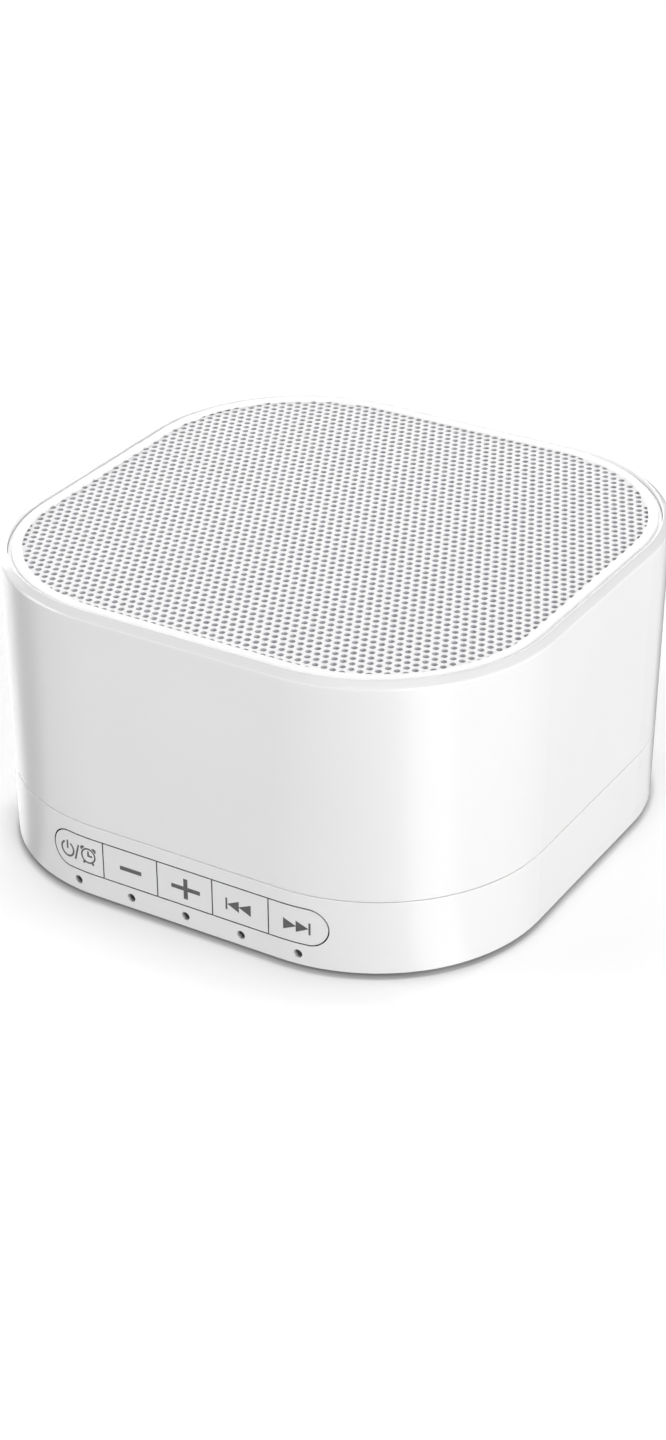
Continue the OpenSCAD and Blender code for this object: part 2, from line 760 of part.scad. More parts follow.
module speaker_basket() {
  t = basket_t;
  top = basket_depth;
  window_z = shelf_rise + 1.6;
  window_w = 9;
  window_top = top - t - 1.2;
  color("silver") difference() {
    translate([0, 0, basket_z]) revolved() polygon([
      [gap_r, 0], [seat_r, 0], [seat_r, shelf_rise], [shelf_r, shelf_rise],
      [neck_r, top - t], [flange_r, top - t], [flange_r, top],
      [neck_r - 0.75*t, top], [shelf_r - 0.75*t, shelf_rise + t], [seat_r - t, shelf_rise + t],
      [seat_r - t, t], [gap_r, t]
    ]);
    for (k = [0:basket_windows - 1]) rotate([0, 0, (k + 0.5)*360/basket_windows])
      translate([shelf_r - 1.2, -window_w/2, basket_z + window_z])
        cube([flange_r - shelf_r, window_w, window_top - window_z]);
    speaker_screw_spots() translate([0, 0, flange_z - t - 1])
      cylinder(r = small_screw_r + screw_fit, h = t + 2, $fn = small_fn);
  }
}

// Half roll between the cone's edge and the flange
module speaker_surround() {
  lap = 1.2;
  color("dimgray") translate([0, 0, flange_z]) revolved() {
    translate([roll_out_r - reach, 0]) square([surround_rim + reach, surround_t]);
    translate([roll_mid_r - roll_r - lap, 0]) square([lap + reach, surround_t]);
    intersection() {
      translate([roll_mid_r, 0]) difference() {
        circle(r = roll_r, $fn = round_fn);
        circle(r = roll_r - surround_t, $fn = round_fn);
      }
      translate([roll_mid_r - roll_r, 0]) square([2*roll_r, roll_r + 1]);
    }
  }
}

// Height of the cone's underside over the neck, a shallow flare
function cone_rise(r) =
  let (part = (r - former_out_r)/(cone_edge_r() - former_out_r))
  (cone_depth - cone_t)*(0.35*part*part + 0.65*part);
function cone_edge_r() = roll_mid_r - roll_r;

module speaker_cone() {
  steps = 8;
  start_r = former_out_r + glue_gap;
  radii = [for (k = [0:steps]) start_r + (cone_edge_r() - start_r)*k/steps];
  under = [for (r = radii) [r, cone_rise(r)]];
  over = [for (k = [steps:-1:0]) [radii[k], cone_rise(radii[k]) + cone_t]];
  color("gray") translate([0, 0, cone_neck_z]) revolved() polygon(concat(under, over));
}

module dust_cap() {
  t = 0.4;
  ball_r = (cap_r*cap_r + cap_h*cap_h)/(2*cap_h);
  cap_z = cone_neck_z + cone_rise(cap_r) + cone_t + glue_gap;
  color("dimgray") translate([0, 0, cap_z + cap_h - ball_r]) intersection() {
    difference() {
      sphere(r = ball_r, $fn = corner_fn);
      sphere(r = ball_r - t, $fn = corner_fn);
    }
    translate([0, 0, ball_r - cap_h]) cylinder(r = cap_r + 1, h = cap_h + 1, $fn = round_fn);
  }
}

module coil_former() {
  color("peru") ring(former_out_r, former_r, former_z, former_top - former_z);
}

module voice_coil() {
  color("chocolate") ring(winding_r, former_out_r, winding_z, winding_h);
}

// Corrugated disc between the former and the basket's shelf
module speaker_spider() {
  t = 0.3;
  steps = 24;
  waves = 4;
  in_r = former_out_r + glue_gap;
  wave_r = seat_r - basket_t - 0.2;
  rim_r = shelf_r - 0.9;
  wave_h = 0.5;
  height = function (r) wave_h*sin(360*waves*(r - in_r)/(wave_r - in_r));
  radii = [for (k = [0:steps]) in_r + (wave_r - in_r)*k/steps];
  low = concat([for (r = radii) [r, height(r)]], [[rim_r, 0]]);
  high = concat([[rim_r, t]], [for (k = [steps:-1:0]) [radii[k], height(radii[k]) + t]]);
  color("burlywood") translate([0, 0, basket_z + shelf_rise + basket_t]) revolved()
    polygon(concat(low, high));
}

module top_plate() {
  color("silver") ring(plate_r, gap_r, top_plate_z, top_plate_t);
}

module speaker_magnet() {
  color("dimgray") ring(magnet_r, gap_r + 1.5, magnet_z, magnet_t);
}

module speaker_yoke() {
  color("silver") {
    translate([0, 0, yoke_z]) cylinder(r = plate_r, h = yoke_t, $fn = corner_fn);
    translate([0, 0, yoke_z + yoke_t - reach])
      cylinder(r = pole_r, h = basket_z - yoke_z - yoke_t + reach, $fn = corner_fn);
  }
}

module terminal_strip() {
  start = seat_r + 0.3;
  color("peru") translate([start, -terminal_w/2, terminal_z])
    cube([terminal_end - start, terminal_w, terminal_t]);
}

module terminal_lugs() {
  w = 2;
  color("gold") for (y = [-lead_side, lead_side])
    translate([terminal_end, y - w/2, terminal_z]) cube([lug_l, w, 0.5]);
}

module speaker_screws() {
  shank_l = basket_t + gasket_t + baffle_t + 1;
  color("silver") speaker_screw_spots() translate([0, 0, flange_z - basket_t])
    rotate([180, 0, 0]) screw(small_head_r, small_head_h, small_screw_r, shank_l);
}

// ---- Leads ----

// A lead's route: out of its lug, down outside the magnet, and into the plug on the board
lead_r = 0.6;
lug_x = terminal_end + lug_l - 0.8;
plug_top_z = board_top_z + plug_h;

function lead_route(side) = let (
  start_y = side*lead_side,
  end_y = plug_at[1] + side*lead_side/2,
  drop = terminal_z - plug_top_z
) [
  [lug_x, start_y, terminal_z - 0.05],
  [lug_x, start_y, plug_top_z + 0.92*drop],
  [lug_x + 0.4 + 0.4*side, start_y + 1.2, plug_top_z + 0.78*drop],
  [lug_x + 0.4 + 0.8*side, start_y + 4, plug_top_z + 0.62*drop],
  [lug_x - 1 + 0.8*side, start_y + 8, plug_top_z + 0.46*drop],
  [lug_x - 4 + 0.6*side, end_y - 4.5, plug_top_z + 0.33*drop],
  [plug_at[0] + 3, end_y - 1.2, plug_top_z + 0.23*drop],
  [plug_at[0] + 0.8, end_y - 0.2, plug_top_z + 0.14*drop],
  [plug_at[0], end_y, plug_top_z + 0.06*drop],
  [plug_at[0], end_y, plug_top_z]
];

// A tube along a list of points, as rings joined by a polyhedron
module tube(points, r) {
  sides = 8;
  last = len(points) - 1;
  away = [0.2, 1, 0.1];
  heading = [for (i = [0:last]) unit(points[min(i + 1, last)] - points[max(i - 1, 0)])];
  rings = [for (i = [0:last])
    let (u = unit(cross(heading[i], away)), w = cross(heading[i], u))
    for (k = [0:sides - 1]) points[i] + r*(u*cos(360*k/sides) + w*sin(360*k/sides))];
  walls = [for (i = [0:last - 1], k = [0:sides - 1])
    let (n = (k + 1) % sides, a = i*sides) [a + k, a + n, a + sides + n, a + sides + k]];
  start = [for (k = [sides - 1:-1:0]) k];
  end = [for (k = [0:sides - 1]) last*sides + k];
  polyhedron(points = rings, faces = concat(walls, [start, end]), convexity = 4);
}

module speaker_leads() {
  color("firebrick") for (side = [-1, 1]) tube(lead_route(side), lead_r);
}

module speaker_plug() {
  w = 5.8;
  l = 7.5;
  color("ivory") translate([plug_at[0] - w/2, plug_at[1] - l/2, board_top_z]) cube([w, l, plug_h]);
}

// ---- Main board ----

module main_board() {
  color("seagreen") difference() {
    translate([-board_w/2, board_front_y, board_z])
      cube([board_w, board_back_y - board_front_y, board_t]);
    board_posts() translate([0, 0, board_z - 1])
      cylinder(r = small_screw_r + 0.3, h = board_t + 2, $fn = small_fn);
  }
}

module board_screws() {
  tip_z = floor_z + 0.4;
  color("silver") board_posts() translate([0, 0, board_top_z])
    screw(small_head_r, small_head_h, small_screw_r, board_top_z - tip_z);
}

// A flat chip with a row of legs along two sides
module chip(at, size) {
  l = size[0];
  w = size[1];
  leg_w = 0.4;
  leg_out = 1;
  legs = floor(l/leg_pitch);
  translate([at[0], at[1], board_top_z]) {
    translate([-l/2, -w/2, 0.1]) cube([l, w, chip_h]);
    for (k = [0:legs - 1])
      translate([(k - (legs - 1)/2)*leg_pitch - leg_w/2, -w/2 - leg_out, 0])
        cube([leg_w, w + 2*leg_out, 0.5]);
  }
}

module main_chip() {
  color("black") chip(main_chip_at, main_chip_size);
}

module amplifier_chip() {
  color("black") chip(amplifier_at, small_chip_size);
}

module memory_chip() {
  color("black") chip(memory_at, small_chip_size);
}

// Can with a groove near its foot
module capacitor(at, size) {
  r = size[0];
  h = size[1];
  edge = 0.4;
  translate([at[0], at[1], board_top_z]) revolved() polygon([
    [0, 0], [r - edge, 0], [r, edge], [r, edge + 0.6], [r - edge, edge + 1], [r, edge + 1.4],
    [r, h - edge], [r - edge, h], [0, h]
  ]);
}

module filter_capacitors() {
  color("darkslategray") {
    capacitor(large_capacitor_at, large_capacitor_size);
    capacitor(small_capacitor_at, small_capacitor_size);
  }
}

// Panel jack with a round nose that passes through the back wall
module audio_jack() {
  front_end_y = port_y - jack_bore_l - 1;
  nose_y = jack_end_y - reach;
  color("dimgray") difference() {
    union() {
      translate([-jack_x - jack_w/2, front_end_y, board_top_z])
        cube([jack_w, jack_end_y - front_end_y, jack_h]);
      translate([-jack_x, nose_y, jack_z]) rotate([-90, 0, 0])
        cylinder(d = jack_nose_d, h = port_y - nose_y, $fn = round_fn);
    }
    translate([-jack_x, port_y + 1, jack_z]) rotate([90, 0, 0])
      cylinder(d = jack_bore_d, h = jack_bore_l + 1, $fn = round_fn);
  }
}

module power_inlet() {
  color("silver") translate([inlet_x, 0, inlet_z]) difference() {
    along_y(port_y - inlet_l, port_y) stadium(inlet_w, inlet_h);
    along_y(port_y - inlet_l + inlet_t, port_y + 1)
      stadium(inlet_w - 2*inlet_t, inlet_h - 2*inlet_t);
  }
}

// Plug tongue, carried by a block at the back of the inlet's shell
module inlet_tongue() {
  gap = 0.02;
  block_l = 1.4;
  tongue_w = 6.7;
  plate_h = 0.7;
  tip_y = port_y - 0.6;
  back_y = port_y - inlet_l + inlet_t;
  hollow_w = inlet_w - 2*inlet_t - 2*gap;
  hollow_h = inlet_h - 2*inlet_t - 2*gap;
  color("black") translate([inlet_x, 0, inlet_z]) {
    along_y(back_y, back_y + block_l) stadium(hollow_w, hollow_h);
    translate([-tongue_w/2, back_y + block_l - reach, -plate_h/2])
      cube([tongue_w, tip_y - back_y - block_l + reach, plate_h]);
  }
}

// ---- Feet and screws ----

module rubber_feet() {
  foot_h = base_z + foot_recess;
  edge = 0.6;
  color("gray") four(foot_xy) revolved() polygon(concat(
    [[0, 0]],
    eased([0, 0], [foot_d/2, 0], [foot_d/2, foot_h], edge),
    [[foot_d/2, foot_h], [0, foot_h]]
  ));
}

// Screws from below that hold the two housings together
module housing_screws() {
  color("silver") four(screw_xy) translate([0, 0, screw_head_z()])
    rotate([180, 0, 0]) screw(screw_head_r, screw_head_h, screw_r, screw_l);
}

// A pan-head screw with a cross recess, its head above z = 0 and its shank below
module screw(head_r, head_h, shank_r, shank_l) {
  slot_l = 1.15*head_r;
  slot_w = 0.22*head_r;
  slot_h = 0.55*head_h;
  rim = [head_r, head_h];
  difference() {
    union() {
      revolved() polygon(concat(
        [[0, 0], [head_r, 0]], eased([head_r, 0], rim, [0, head_h], 0.6*head_h), [[0, head_h]]
      ));
      translate([0, 0, -shank_l])
        cylinder(r = shank_r, h = shank_l + head_h/2, $fn = small_fn);
    }
    for (turn = [0, 90]) rotate([0, 0, turn])
      translate([-slot_l/2, -slot_w/2, head_h - slot_h]) cube([slot_l, slot_w, slot_h + 1]);
  }
}

upper_housing();
lower_housing();
grille_frame();
perforated_grille();
grille_cloth();
key(0);  // key_power
key(1);  // key_minus
key(2);  // key_plus
key(3);  // key_previous
key(4);  // key_next
plunger(0);  // switch_plunger_1
plunger(1);  // switch_plunger_2
plunger(2);  // switch_plunger_3
plunger(3);  // switch_plunger_4
plunger(4);  // switch_plunger_5
tact_switch(0);  // tact_switch_1
tact_switch(1);  // tact_switch_2
tact_switch(2);  // tact_switch_3
tact_switch(3);  // tact_switch_4
tact_switch(4);  // tact_switch_5
indicator_light(0);  // indicator_light_1
indicator_light(1);  // indicator_light_2
indicator_light(2);  // indicator_light_3
indicator_light(3);  // indicator_light_4
indicator_light(4);  // indicator_light_5
light_guide();
key_board();
board_header();
header_pins();
speaker_gasket();
speaker_basket();
speaker_surround();
speaker_cone();
dust_cap();
coil_former();
voice_coil();
speaker_spider();
top_plate();
speaker_magnet();
speaker_yoke();
terminal_strip();
terminal_lugs();
speaker_leads();
speaker_plug();
speaker_screws();
main_board();
main_chip();
amplifier_chip();
memory_chip();
filter_capacitors();
board_screws();
audio_jack();
power_inlet();
inlet_tongue();
rubber_feet();
housing_screws();
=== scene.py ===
"""Looks of a compact bedside sound machine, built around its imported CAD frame.

Units are metres. The front with the keys faces -Y, up is +Z, and the feet stand on z = 0.
"""

import json
import math

import bmesh
import bpy
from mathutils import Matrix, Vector
from mathutils.geometry import delaunay_2d_cdt, tessellate_polygon


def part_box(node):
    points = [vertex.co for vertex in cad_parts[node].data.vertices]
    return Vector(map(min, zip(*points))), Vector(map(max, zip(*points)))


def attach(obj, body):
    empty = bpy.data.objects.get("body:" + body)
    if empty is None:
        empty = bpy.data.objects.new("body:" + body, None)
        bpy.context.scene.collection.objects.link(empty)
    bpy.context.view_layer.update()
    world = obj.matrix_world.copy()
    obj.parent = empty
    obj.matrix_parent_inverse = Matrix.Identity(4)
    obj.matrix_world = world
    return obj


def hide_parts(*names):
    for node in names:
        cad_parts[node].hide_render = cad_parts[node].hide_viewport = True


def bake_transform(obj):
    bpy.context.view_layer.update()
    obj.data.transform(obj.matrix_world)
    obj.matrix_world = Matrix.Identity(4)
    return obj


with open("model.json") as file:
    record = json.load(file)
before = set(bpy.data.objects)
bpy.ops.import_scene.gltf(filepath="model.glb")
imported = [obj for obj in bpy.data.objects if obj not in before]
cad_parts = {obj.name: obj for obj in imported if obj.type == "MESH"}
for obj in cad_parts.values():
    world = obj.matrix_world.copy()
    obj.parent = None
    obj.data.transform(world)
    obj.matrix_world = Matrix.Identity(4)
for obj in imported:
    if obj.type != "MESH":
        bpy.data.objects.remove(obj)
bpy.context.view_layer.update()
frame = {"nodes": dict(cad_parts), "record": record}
MM = 0.001

# ---- Camera, at the photograph's viewing angle ----

PHOTO_H = 1440               # pixels along the photograph's longer side
FOCAL_PX = 2885.75           # focal length in the photograph's pixels
CENTRE_ROW = 700             # the photograph's row that the camera's axis meets
SENSOR = 36.0
NEAREST = 0.01               # what the camera sees begins at this distance
FARTHEST = 50
CAMERA_AT = (0.228578, -0.384265, 0.270502)
CAMERA_PITCH = 0.5097        # radians down from level
CAMERA_YAW = 0.5388


def make_camera():
    data = bpy.data.cameras.new("camera")
    data.sensor_fit = "AUTO"
    data.sensor_width = SENSOR
    data.lens = FOCAL_PX * SENSOR / PHOTO_H
    data.shift_y = (CENTRE_ROW - PHOTO_H / 2) / PHOTO_H
    data.clip_start = NEAREST
    data.clip_end = FARTHEST
    camera = bpy.data.objects.new("camera", data)
    camera.location = CAMERA_AT
    camera.rotation_euler = (math.pi / 2 - CAMERA_PITCH, 0, CAMERA_YAW)
    bpy.context.scene.collection.objects.link(camera)
    bpy.context.scene.camera = camera


make_camera()

# ---- The body's form, which its finish with its painted light, the prints and the floor's painted shadow follow ----

CORE = 18.5 * MM             # half side of the square between the body's corner centres
HALF_WIDTH = 50 * MM         # at the lower edge
LOWER_EDGE = 0.9 * MM        # height of the lower edge
DRAFT = math.tan(math.radians(0.77))
CHAMFER_START = 54.42 * MM   # height at which the rim's chamfer begins
LIP_R = 30.85 * MM           # the rim's lip lies within this distance of the square
FRAME_R = 30.15 * MM         # the grille frame's outer wall, measured in the same way
FOOT_R = 31.5 * MM           # the body's foot, measured in the same way


def corner_radius(z):
    """Radius of the body's rounded corners at a height."""
    return HALF_WIDTH + DRAFT * (z - LOWER_EDGE) - CORE


def front_at(x, z):
    """Y of the body's front surface."""
    over = max(abs(x) - CORE, 0.0)
    radius = corner_radius(z)
    return -(CORE + math.sqrt(radius * radius - over * over))


def front_normal(x, z):
    """Direction straight out of the body's front surface."""
    over = math.copysign(max(abs(x) - CORE, 0.0), x)
    across = over / corner_radius(z)
    return Vector((across, -math.sqrt(1 - across * across), -DRAFT)).normalized()


# ---- Material kit. The scale of a noise is in features per metre ----

MIX_FIRST = 6                # the Mix node's sockets for colours
MIX_SECOND = 7
MIX_RESULT = 2
NOISE_RANGE = (0.3, 0.7)     # where most of a noise lies
WAVE_RATE = 20               # the Wave node's radians per metre at scale 1
CREVICE_SAMPLES = 8
CREVICE_RANGE = (0.3, 0.75)  # openness of a crevice where its painted shade is full and where it ends
CREVICE_FADE = 0.1 * MM      # half the height over which the painted shade ends at its top


class Shader:
    """A small helper that builds one node material round a Principled shader."""

    def __init__(self, name):
        self.material = bpy.data.materials.new(name)
        self.material.use_nodes = True
        self.tree = self.material.node_tree
        self.tree.nodes.clear()
        self.output = self.node("ShaderNodeOutputMaterial")
        self.bsdf = self.node("ShaderNodeBsdfPrincipled")
        self.link(self.bsdf.outputs["BSDF"], self.output.inputs["Surface"])
        self.place = self.node("ShaderNodeTexCoord").outputs["Object"]

    def node(self, kind, **settings):
        made = self.tree.nodes.new(kind)
        for name, value in settings.items():
            setattr(made, name, value)
        return made

    def link(self, source, target):
        self.tree.links.new(source, target)

    def set(self, **values):
        """Set the shader's own sockets; an underscore stands for a space."""
        for name, value in values.items():
            self.bsdf.inputs[name.replace("_", " ")].default_value = value

    def math(self, operation, first, second):
        """One step of arithmetic with numbers or outputs."""
        node = self.node("ShaderNodeMath", operation=operation)
        for socket, value in zip(node.inputs, (first, second)):
            if isinstance(value, (int, float)):
                socket.default_value = value
            else:
                self.link(value, socket)
        return node.outputs["Value"]

    def vectors(self, operation, vector, constant=None):
        """One step of vector arithmetic, with a constant where the operation takes two vectors."""
        node = self.node("ShaderNodeVectorMath", operation=operation)
        self.link(vector, node.inputs[0])
        if constant is not None:
            node.inputs[1].default_value = constant
        return node.outputs["Value" if operation in ("LENGTH", "DOT_PRODUCT") else "Vector"]

    def along(self, axis):
        """The place along one axis."""
        parts = self.node("ShaderNodeSeparateXYZ")
        self.link(self.place, parts.inputs["Vector"])
        return parts.outputs[axis]

    def past_core(self):
        """Distance from the square between the body's corner centres, the same all along a wall."""
        half = self.vectors("ABSOLUTE", self.place)
        # a whole metre less in height leaves only what lies across
        past = self.vectors("SUBTRACT", half, (CORE, CORE, 1))
        return self.vectors("LENGTH", self.vectors("MAXIMUM", past, (0, 0, 0)))

    def scaled(self, scale):
        mapping = self.node("ShaderNodeMapping")
        mapping.inputs["Scale"].default_value = scale
        self.link(self.place, mapping.inputs["Vector"])
        return mapping.outputs["Vector"]

    def noise(self, scale, detail, roughness=0.5, vector=None):
        noise = self.node("ShaderNodeTexNoise")
        noise.inputs["Scale"].default_value = scale
        noise.inputs["Detail"].default_value = detail
        noise.inputs["Roughness"].default_value = roughness
        self.link(vector or self.place, noise.inputs["Vector"])
        return noise.outputs["Fac"]

    def wave(self, pitch, direction):
        """Bands that repeat at a pitch."""
        wave = self.node("ShaderNodeTexWave", wave_profile="SIN", bands_direction=direction)
        wave.inputs["Scale"].default_value = 2 * math.pi / pitch / WAVE_RATE
        self.link(self.place, wave.inputs["Vector"])
        return wave.outputs["Fac"]

    def weave(self, pitch):
        """Plain weave: bands both ways."""
        return self.math("MAXIMUM", self.wave(pitch, "X"), self.wave(pitch, "Y"))

    def cells(self, scale):
        cells = self.node("ShaderNodeTexVoronoi")
        cells.inputs["Scale"].default_value = scale
        self.link(self.place, cells.inputs["Vector"])
        return cells.outputs["Distance"]

    def spread(self, value, low, high, source=NOISE_RANGE):
        """Spread a source range of values over another one."""
        spread = self.node("ShaderNodeMapRange")
        spread.inputs["From Min"].default_value = source[0]
        spread.inputs["From Max"].default_value = source[1]
        spread.inputs["To Min"].default_value = low
        spread.inputs["To Max"].default_value = high
        self.link(value, spread.inputs["Value"])
        return spread.outputs["Result"]

    def mixed(self, factor, first, second):
        """Mix of two colours, each one a tuple or an output."""
        mix = self.node("ShaderNodeMix", data_type="RGBA")
        for index, colour in ((MIX_FIRST, first), (MIX_SECOND, second)):
            if isinstance(colour, tuple):
                mix.inputs[index].default_value = (*colour, 1)
            else:
                self.link(colour, mix.inputs[index])
        self.link(factor, mix.inputs[0])
        return mix.outputs[MIX_RESULT]

    def base(self):
        """The output that colours the surface so far."""
        return self.bsdf.inputs["Base Color"].links[0].from_socket

    def colour(self, factor, first, second):
        self.link(self.mixed(factor, first, second), self.bsdf.inputs["Base Color"])

    def tint(self, noise, first, second):
        self.colour(self.spread(noise, 0, 1), first, second)

    def roughness(self, noise, low, high):
        self.link(self.spread(noise, low, high), self.bsdf.inputs["Roughness"])

    def bump(self, height, distance, strength=1.0, after=None):
        bump = self.node("ShaderNodeBump")
        bump.inputs["Distance"].default_value = distance
        bump.inputs["Strength"].default_value = strength
        self.link(height, bump.inputs["Height"])
        if after is not None:
            self.link(after, bump.inputs["Normal"])
        self.link(bump.outputs["Normal"], self.bsdf.inputs["Normal"])
        return bump.outputs["Normal"]

    def paint_crevice_shade(self, distance, level, top=None):
        """Paint shade into the base colour in crevices, such as narrow gaps and small holes, below a height.
        """
        crevice = self.node("ShaderNodeAmbientOcclusion", samples=CREVICE_SAMPLES)
        crevice.inputs["Distance"].default_value = distance
        share = self.spread(crevice.outputs["AO"], 0, 1, CREVICE_RANGE)
        if top is not None:
            above = self.spread(self.along("Z"), 0, 1, (top - CREVICE_FADE, top + CREVICE_FADE))
            share = self.math("MAXIMUM", share, above)
        self.colour(share, grey(level), self.base())


def grey(level, warm=0.0):
    return (level + warm, level, level - warm)


# ---- Materials ----

PLASTIC_IOR = 1.46
FLOW_DEPTH = 0.06 * MM
FLOW_STRENGTH = 0.35
PLAIN_GRAIN = 0.004 * MM
FRAME_GRAIN = 0.003 * MM
GLOSS_GRAIN = 0.0025 * MM
HOUSING_TONES = (grey(0.80), grey(0.815))
HOUSING_ROUGH = (0.16, 0.22)
BAND_LEVEL = 0.69            # grey of the rim's chamfer
PAINTED_GROOVE_LIGHT = 0.98             # painted light: white of the lip and of the groove inside it, lighter than the plastic to lift the groove's shade
CHAMFER_FADE = 0.12 * MM
LIP_FADE = 0.05 * MM
GROOVE_FADE = 0.08 * MM
LINE_DEPTH = 0.002 * MM      # depth of the fine lines in metal
CLOTH_PITCH = 0.34 * MM
SPIDER_PITCH = 0.45 * MM
WINDING_PITCH = 0.17 * MM
TRACK_PITCH = 1.1 * MM
THREADS = (0.2, 0.95)        # heights of a weave that take its two tones
TURNS = (0.1, 0.9)           # heights of a winding that take its two tones
TRACK = (0.84, 0.92)         # heights of the wave between which a track begins
TRACKS_ALONG = (0.53, 0.54)  # noise between which a patch of tracks along Y begins
TRACKS_ACROSS = (0.46, 0.47)


def moulded(name, first, second, rough, grain=PLAIN_GRAIN):
    """Moulded plastic: a spark-eroded grain, slow flow marks and a little uneven gloss."""
    s = Shader(name)
    s.set(IOR=PLASTIC_IOR)
    s.tint(s.noise(scale=38, detail=3), first, second)
    s.roughness(s.noise(scale=120, detail=4, roughness=0.6), *rough)
    flow = s.bump(s.noise(scale=30, detail=2), FLOW_DEPTH, FLOW_STRENGTH)
    s.bump(s.noise(scale=4200, detail=2, roughness=0.6), grain, after=flow)
    return s


def simple_plastic(name, level, rough=(0.42, 0.55), warm=0.0):
    return moulded(name, grey(level, warm), grey(level * 1.25 + 0.004, warm), rough).material


def metal(name, first, second, rough, scale=(900, 30, 30)):
    """Rolled or drawn metal with fine lines and slow patches."""
    s = Shader(name)
    s.set(Metallic=1.0)
    lines = s.noise(scale=1.0, detail=4, roughness=0.6, vector=s.scaled(scale))
    s.tint(s.noise(scale=90, detail=4), first, second)
    s.roughness(lines, *rough)
    s.bump(lines, LINE_DEPTH)
    return s.material


def paper(name, first, second):
    """Pressed pulp with short fibres."""
    s = Shader(name)
    fibres = s.noise(scale=1.0, detail=5, roughness=0.65, vector=s.scaled((2600, 900, 1500)))
    s.tint(fibres, first, second)
    s.roughness(s.noise(scale=700, detail=3), low=0.7, high=0.9)
    s.bump(fibres, distance=0.05 * MM)
    return s.material


def textured(name, first, second, mottle, rough, wear, texture, depth):
    """Mottled colour, uneven gloss and a fine texture, each from a noise of its own."""
    s = Shader(name)
    s.tint(s.noise(*mottle), first, second)
    s.roughness(s.noise(*wear), *rough)
    s.bump(s.noise(*texture), depth * MM)
    return s


def housing_plastic():
    """White gloss plastic; the rim's chamfer is slightly greyer, and the thin wall inside it is whiter,
    painted light that lifts the shade in the groove.
    """
    s = moulded("housing_plastic", *HOUSING_TONES, HOUSING_ROUGH, GLOSS_GRAIN)
    band = s.spread(s.along("Z"), 0, 1, (CHAMFER_START, CHAMFER_START + CHAMFER_FADE))
    outside = s.spread(s.past_core(), 0, 1, (LIP_R, LIP_R + LIP_FADE))
    # from the chamfer's height up, the lip and its inner wall take painted light that lifts the groove's
    # shade; the chamfer outside them is greyer
    s.colour(band, s.base(), s.mixed(outside, grey(PAINTED_GROOVE_LIGHT), grey(BAND_LEVEL)))
    return s.material


def lower_plastic():
    """The housing's plastic, with deep painted shade in the key window's edge and the indicator holes."""
    s = moulded("lower_plastic", *HOUSING_TONES, HOUSING_ROUGH, GLOSS_GRAIN)
    s.paint_crevice_shade(distance=1.4 * MM, level=0.09, top=14.2 * MM)
    return s.material


def key_plastic():
    """The keys' plastic, with deep painted shade in the gaps between them."""
    s = moulded("key_plastic", grey(0.79), grey(0.805), rough=(0.2, 0.28), grain=GLOSS_GRAIN)
    s.paint_crevice_shade(distance=0.9 * MM, level=0.1)
    return s.material


def frame_plastic():
    """White satin plastic, with painted light: whiter where the frame's wall and foot stand in the groove, to
    lift its shade.
    """
    s = moulded("frame_plastic", grey(0.88), grey(0.895), rough=(0.28, 0.36), grain=FRAME_GRAIN)
    # painted light: the frame's wall and foot in the groove are whiter, to lift its shade
    groove = s.spread(s.past_core(), 0, 1, (FRAME_R - GROOVE_FADE, FRAME_R))
    s.colour(groove, s.base(), grey(PAINTED_GROOVE_LIGHT))
    return s.material


def hole_wall_painted_shade():
    """Grey painted shade on the punched edges of the sheet, the walls of its holes, with the drag lines of
    the tool.
    """
    s = Shader("hole_wall_painted_shade")
    lines = s.noise(scale=1.0, detail=3, roughness=0.6, vector=s.scaled((9000, 9000, 700)))
    # painted shade: the hole walls are much greyer than the sheet's face
    s.tint(lines, (0.545, 0.535, 0.565), (0.645, 0.635, 0.665))
    s.roughness(lines, low=0.5, high=0.7)
    s.bump(lines, distance=0.004 * MM)
    return s.material


def cloth():
    """Plain weave of fine grey yarn."""
    s = Shader("cloth")
    s.set(Sheen_Weight=0.2)
    weave = s.weave(CLOTH_PITCH)
    s.colour(s.spread(weave, 0, 1, THREADS), grey(0.03), grey(0.08))
    s.roughness(s.noise(scale=900, detail=3), low=0.75, high=0.95)
    s.bump(weave, distance=0.05 * MM)
    return s.material


def spider():
    """Resin-stiffened open weave."""
    s = Shader("spider")
    weave = s.weave(SPIDER_PITCH)
    s.colour(s.spread(weave, 0, 1, THREADS), (0.2, 0.1, 0.025), (0.52, 0.33, 0.13))
    s.roughness(s.noise(scale=700, detail=3), low=0.65, high=0.85)
    s.bump(weave, distance=0.06 * MM)
    return s.material


def copper():
    """Layer-wound enamelled wire."""
    s = Shader("copper")
    s.set(Metallic=1.0, Coat_Weight=0.4)
    turns = s.wave(WINDING_PITCH, "Z")
    s.colour(s.spread(turns, 0, 1, TURNS), (0.36, 0.1, 0.03), (0.82, 0.36, 0.15))
    s.roughness(s.noise(scale=400, detail=3), low=0.22, high=0.4)
    s.bump(turns, distance=0.06 * MM)
    return s.material


def board():
    """Solder mask over copper tracks that show as a lighter green and run one way or the other in patches."""
    s = Shader("board")
    patches = s.noise(scale=110, detail=1)
    along = s.spread(s.wave(TRACK_PITCH, "X"), 0, 1, TRACK)
    across = s.spread(s.wave(TRACK_PITCH, "Y"), 0, 1, TRACK)
    along = s.math("MULTIPLY", along, s.spread(patches, 0, 1, TRACKS_ALONG))
    across = s.math("MULTIPLY", across, s.spread(patches, 1, 0, TRACKS_ACROSS))
    tracks = s.math("ADD", along, across)
    s.colour(tracks, (0.012, 0.085, 0.04), (0.03, 0.16, 0.075))
    s.roughness(s.noise(scale=500, detail=3), low=0.24, high=0.38)
    s.bump(tracks, distance=0.02 * MM)
    return s.material


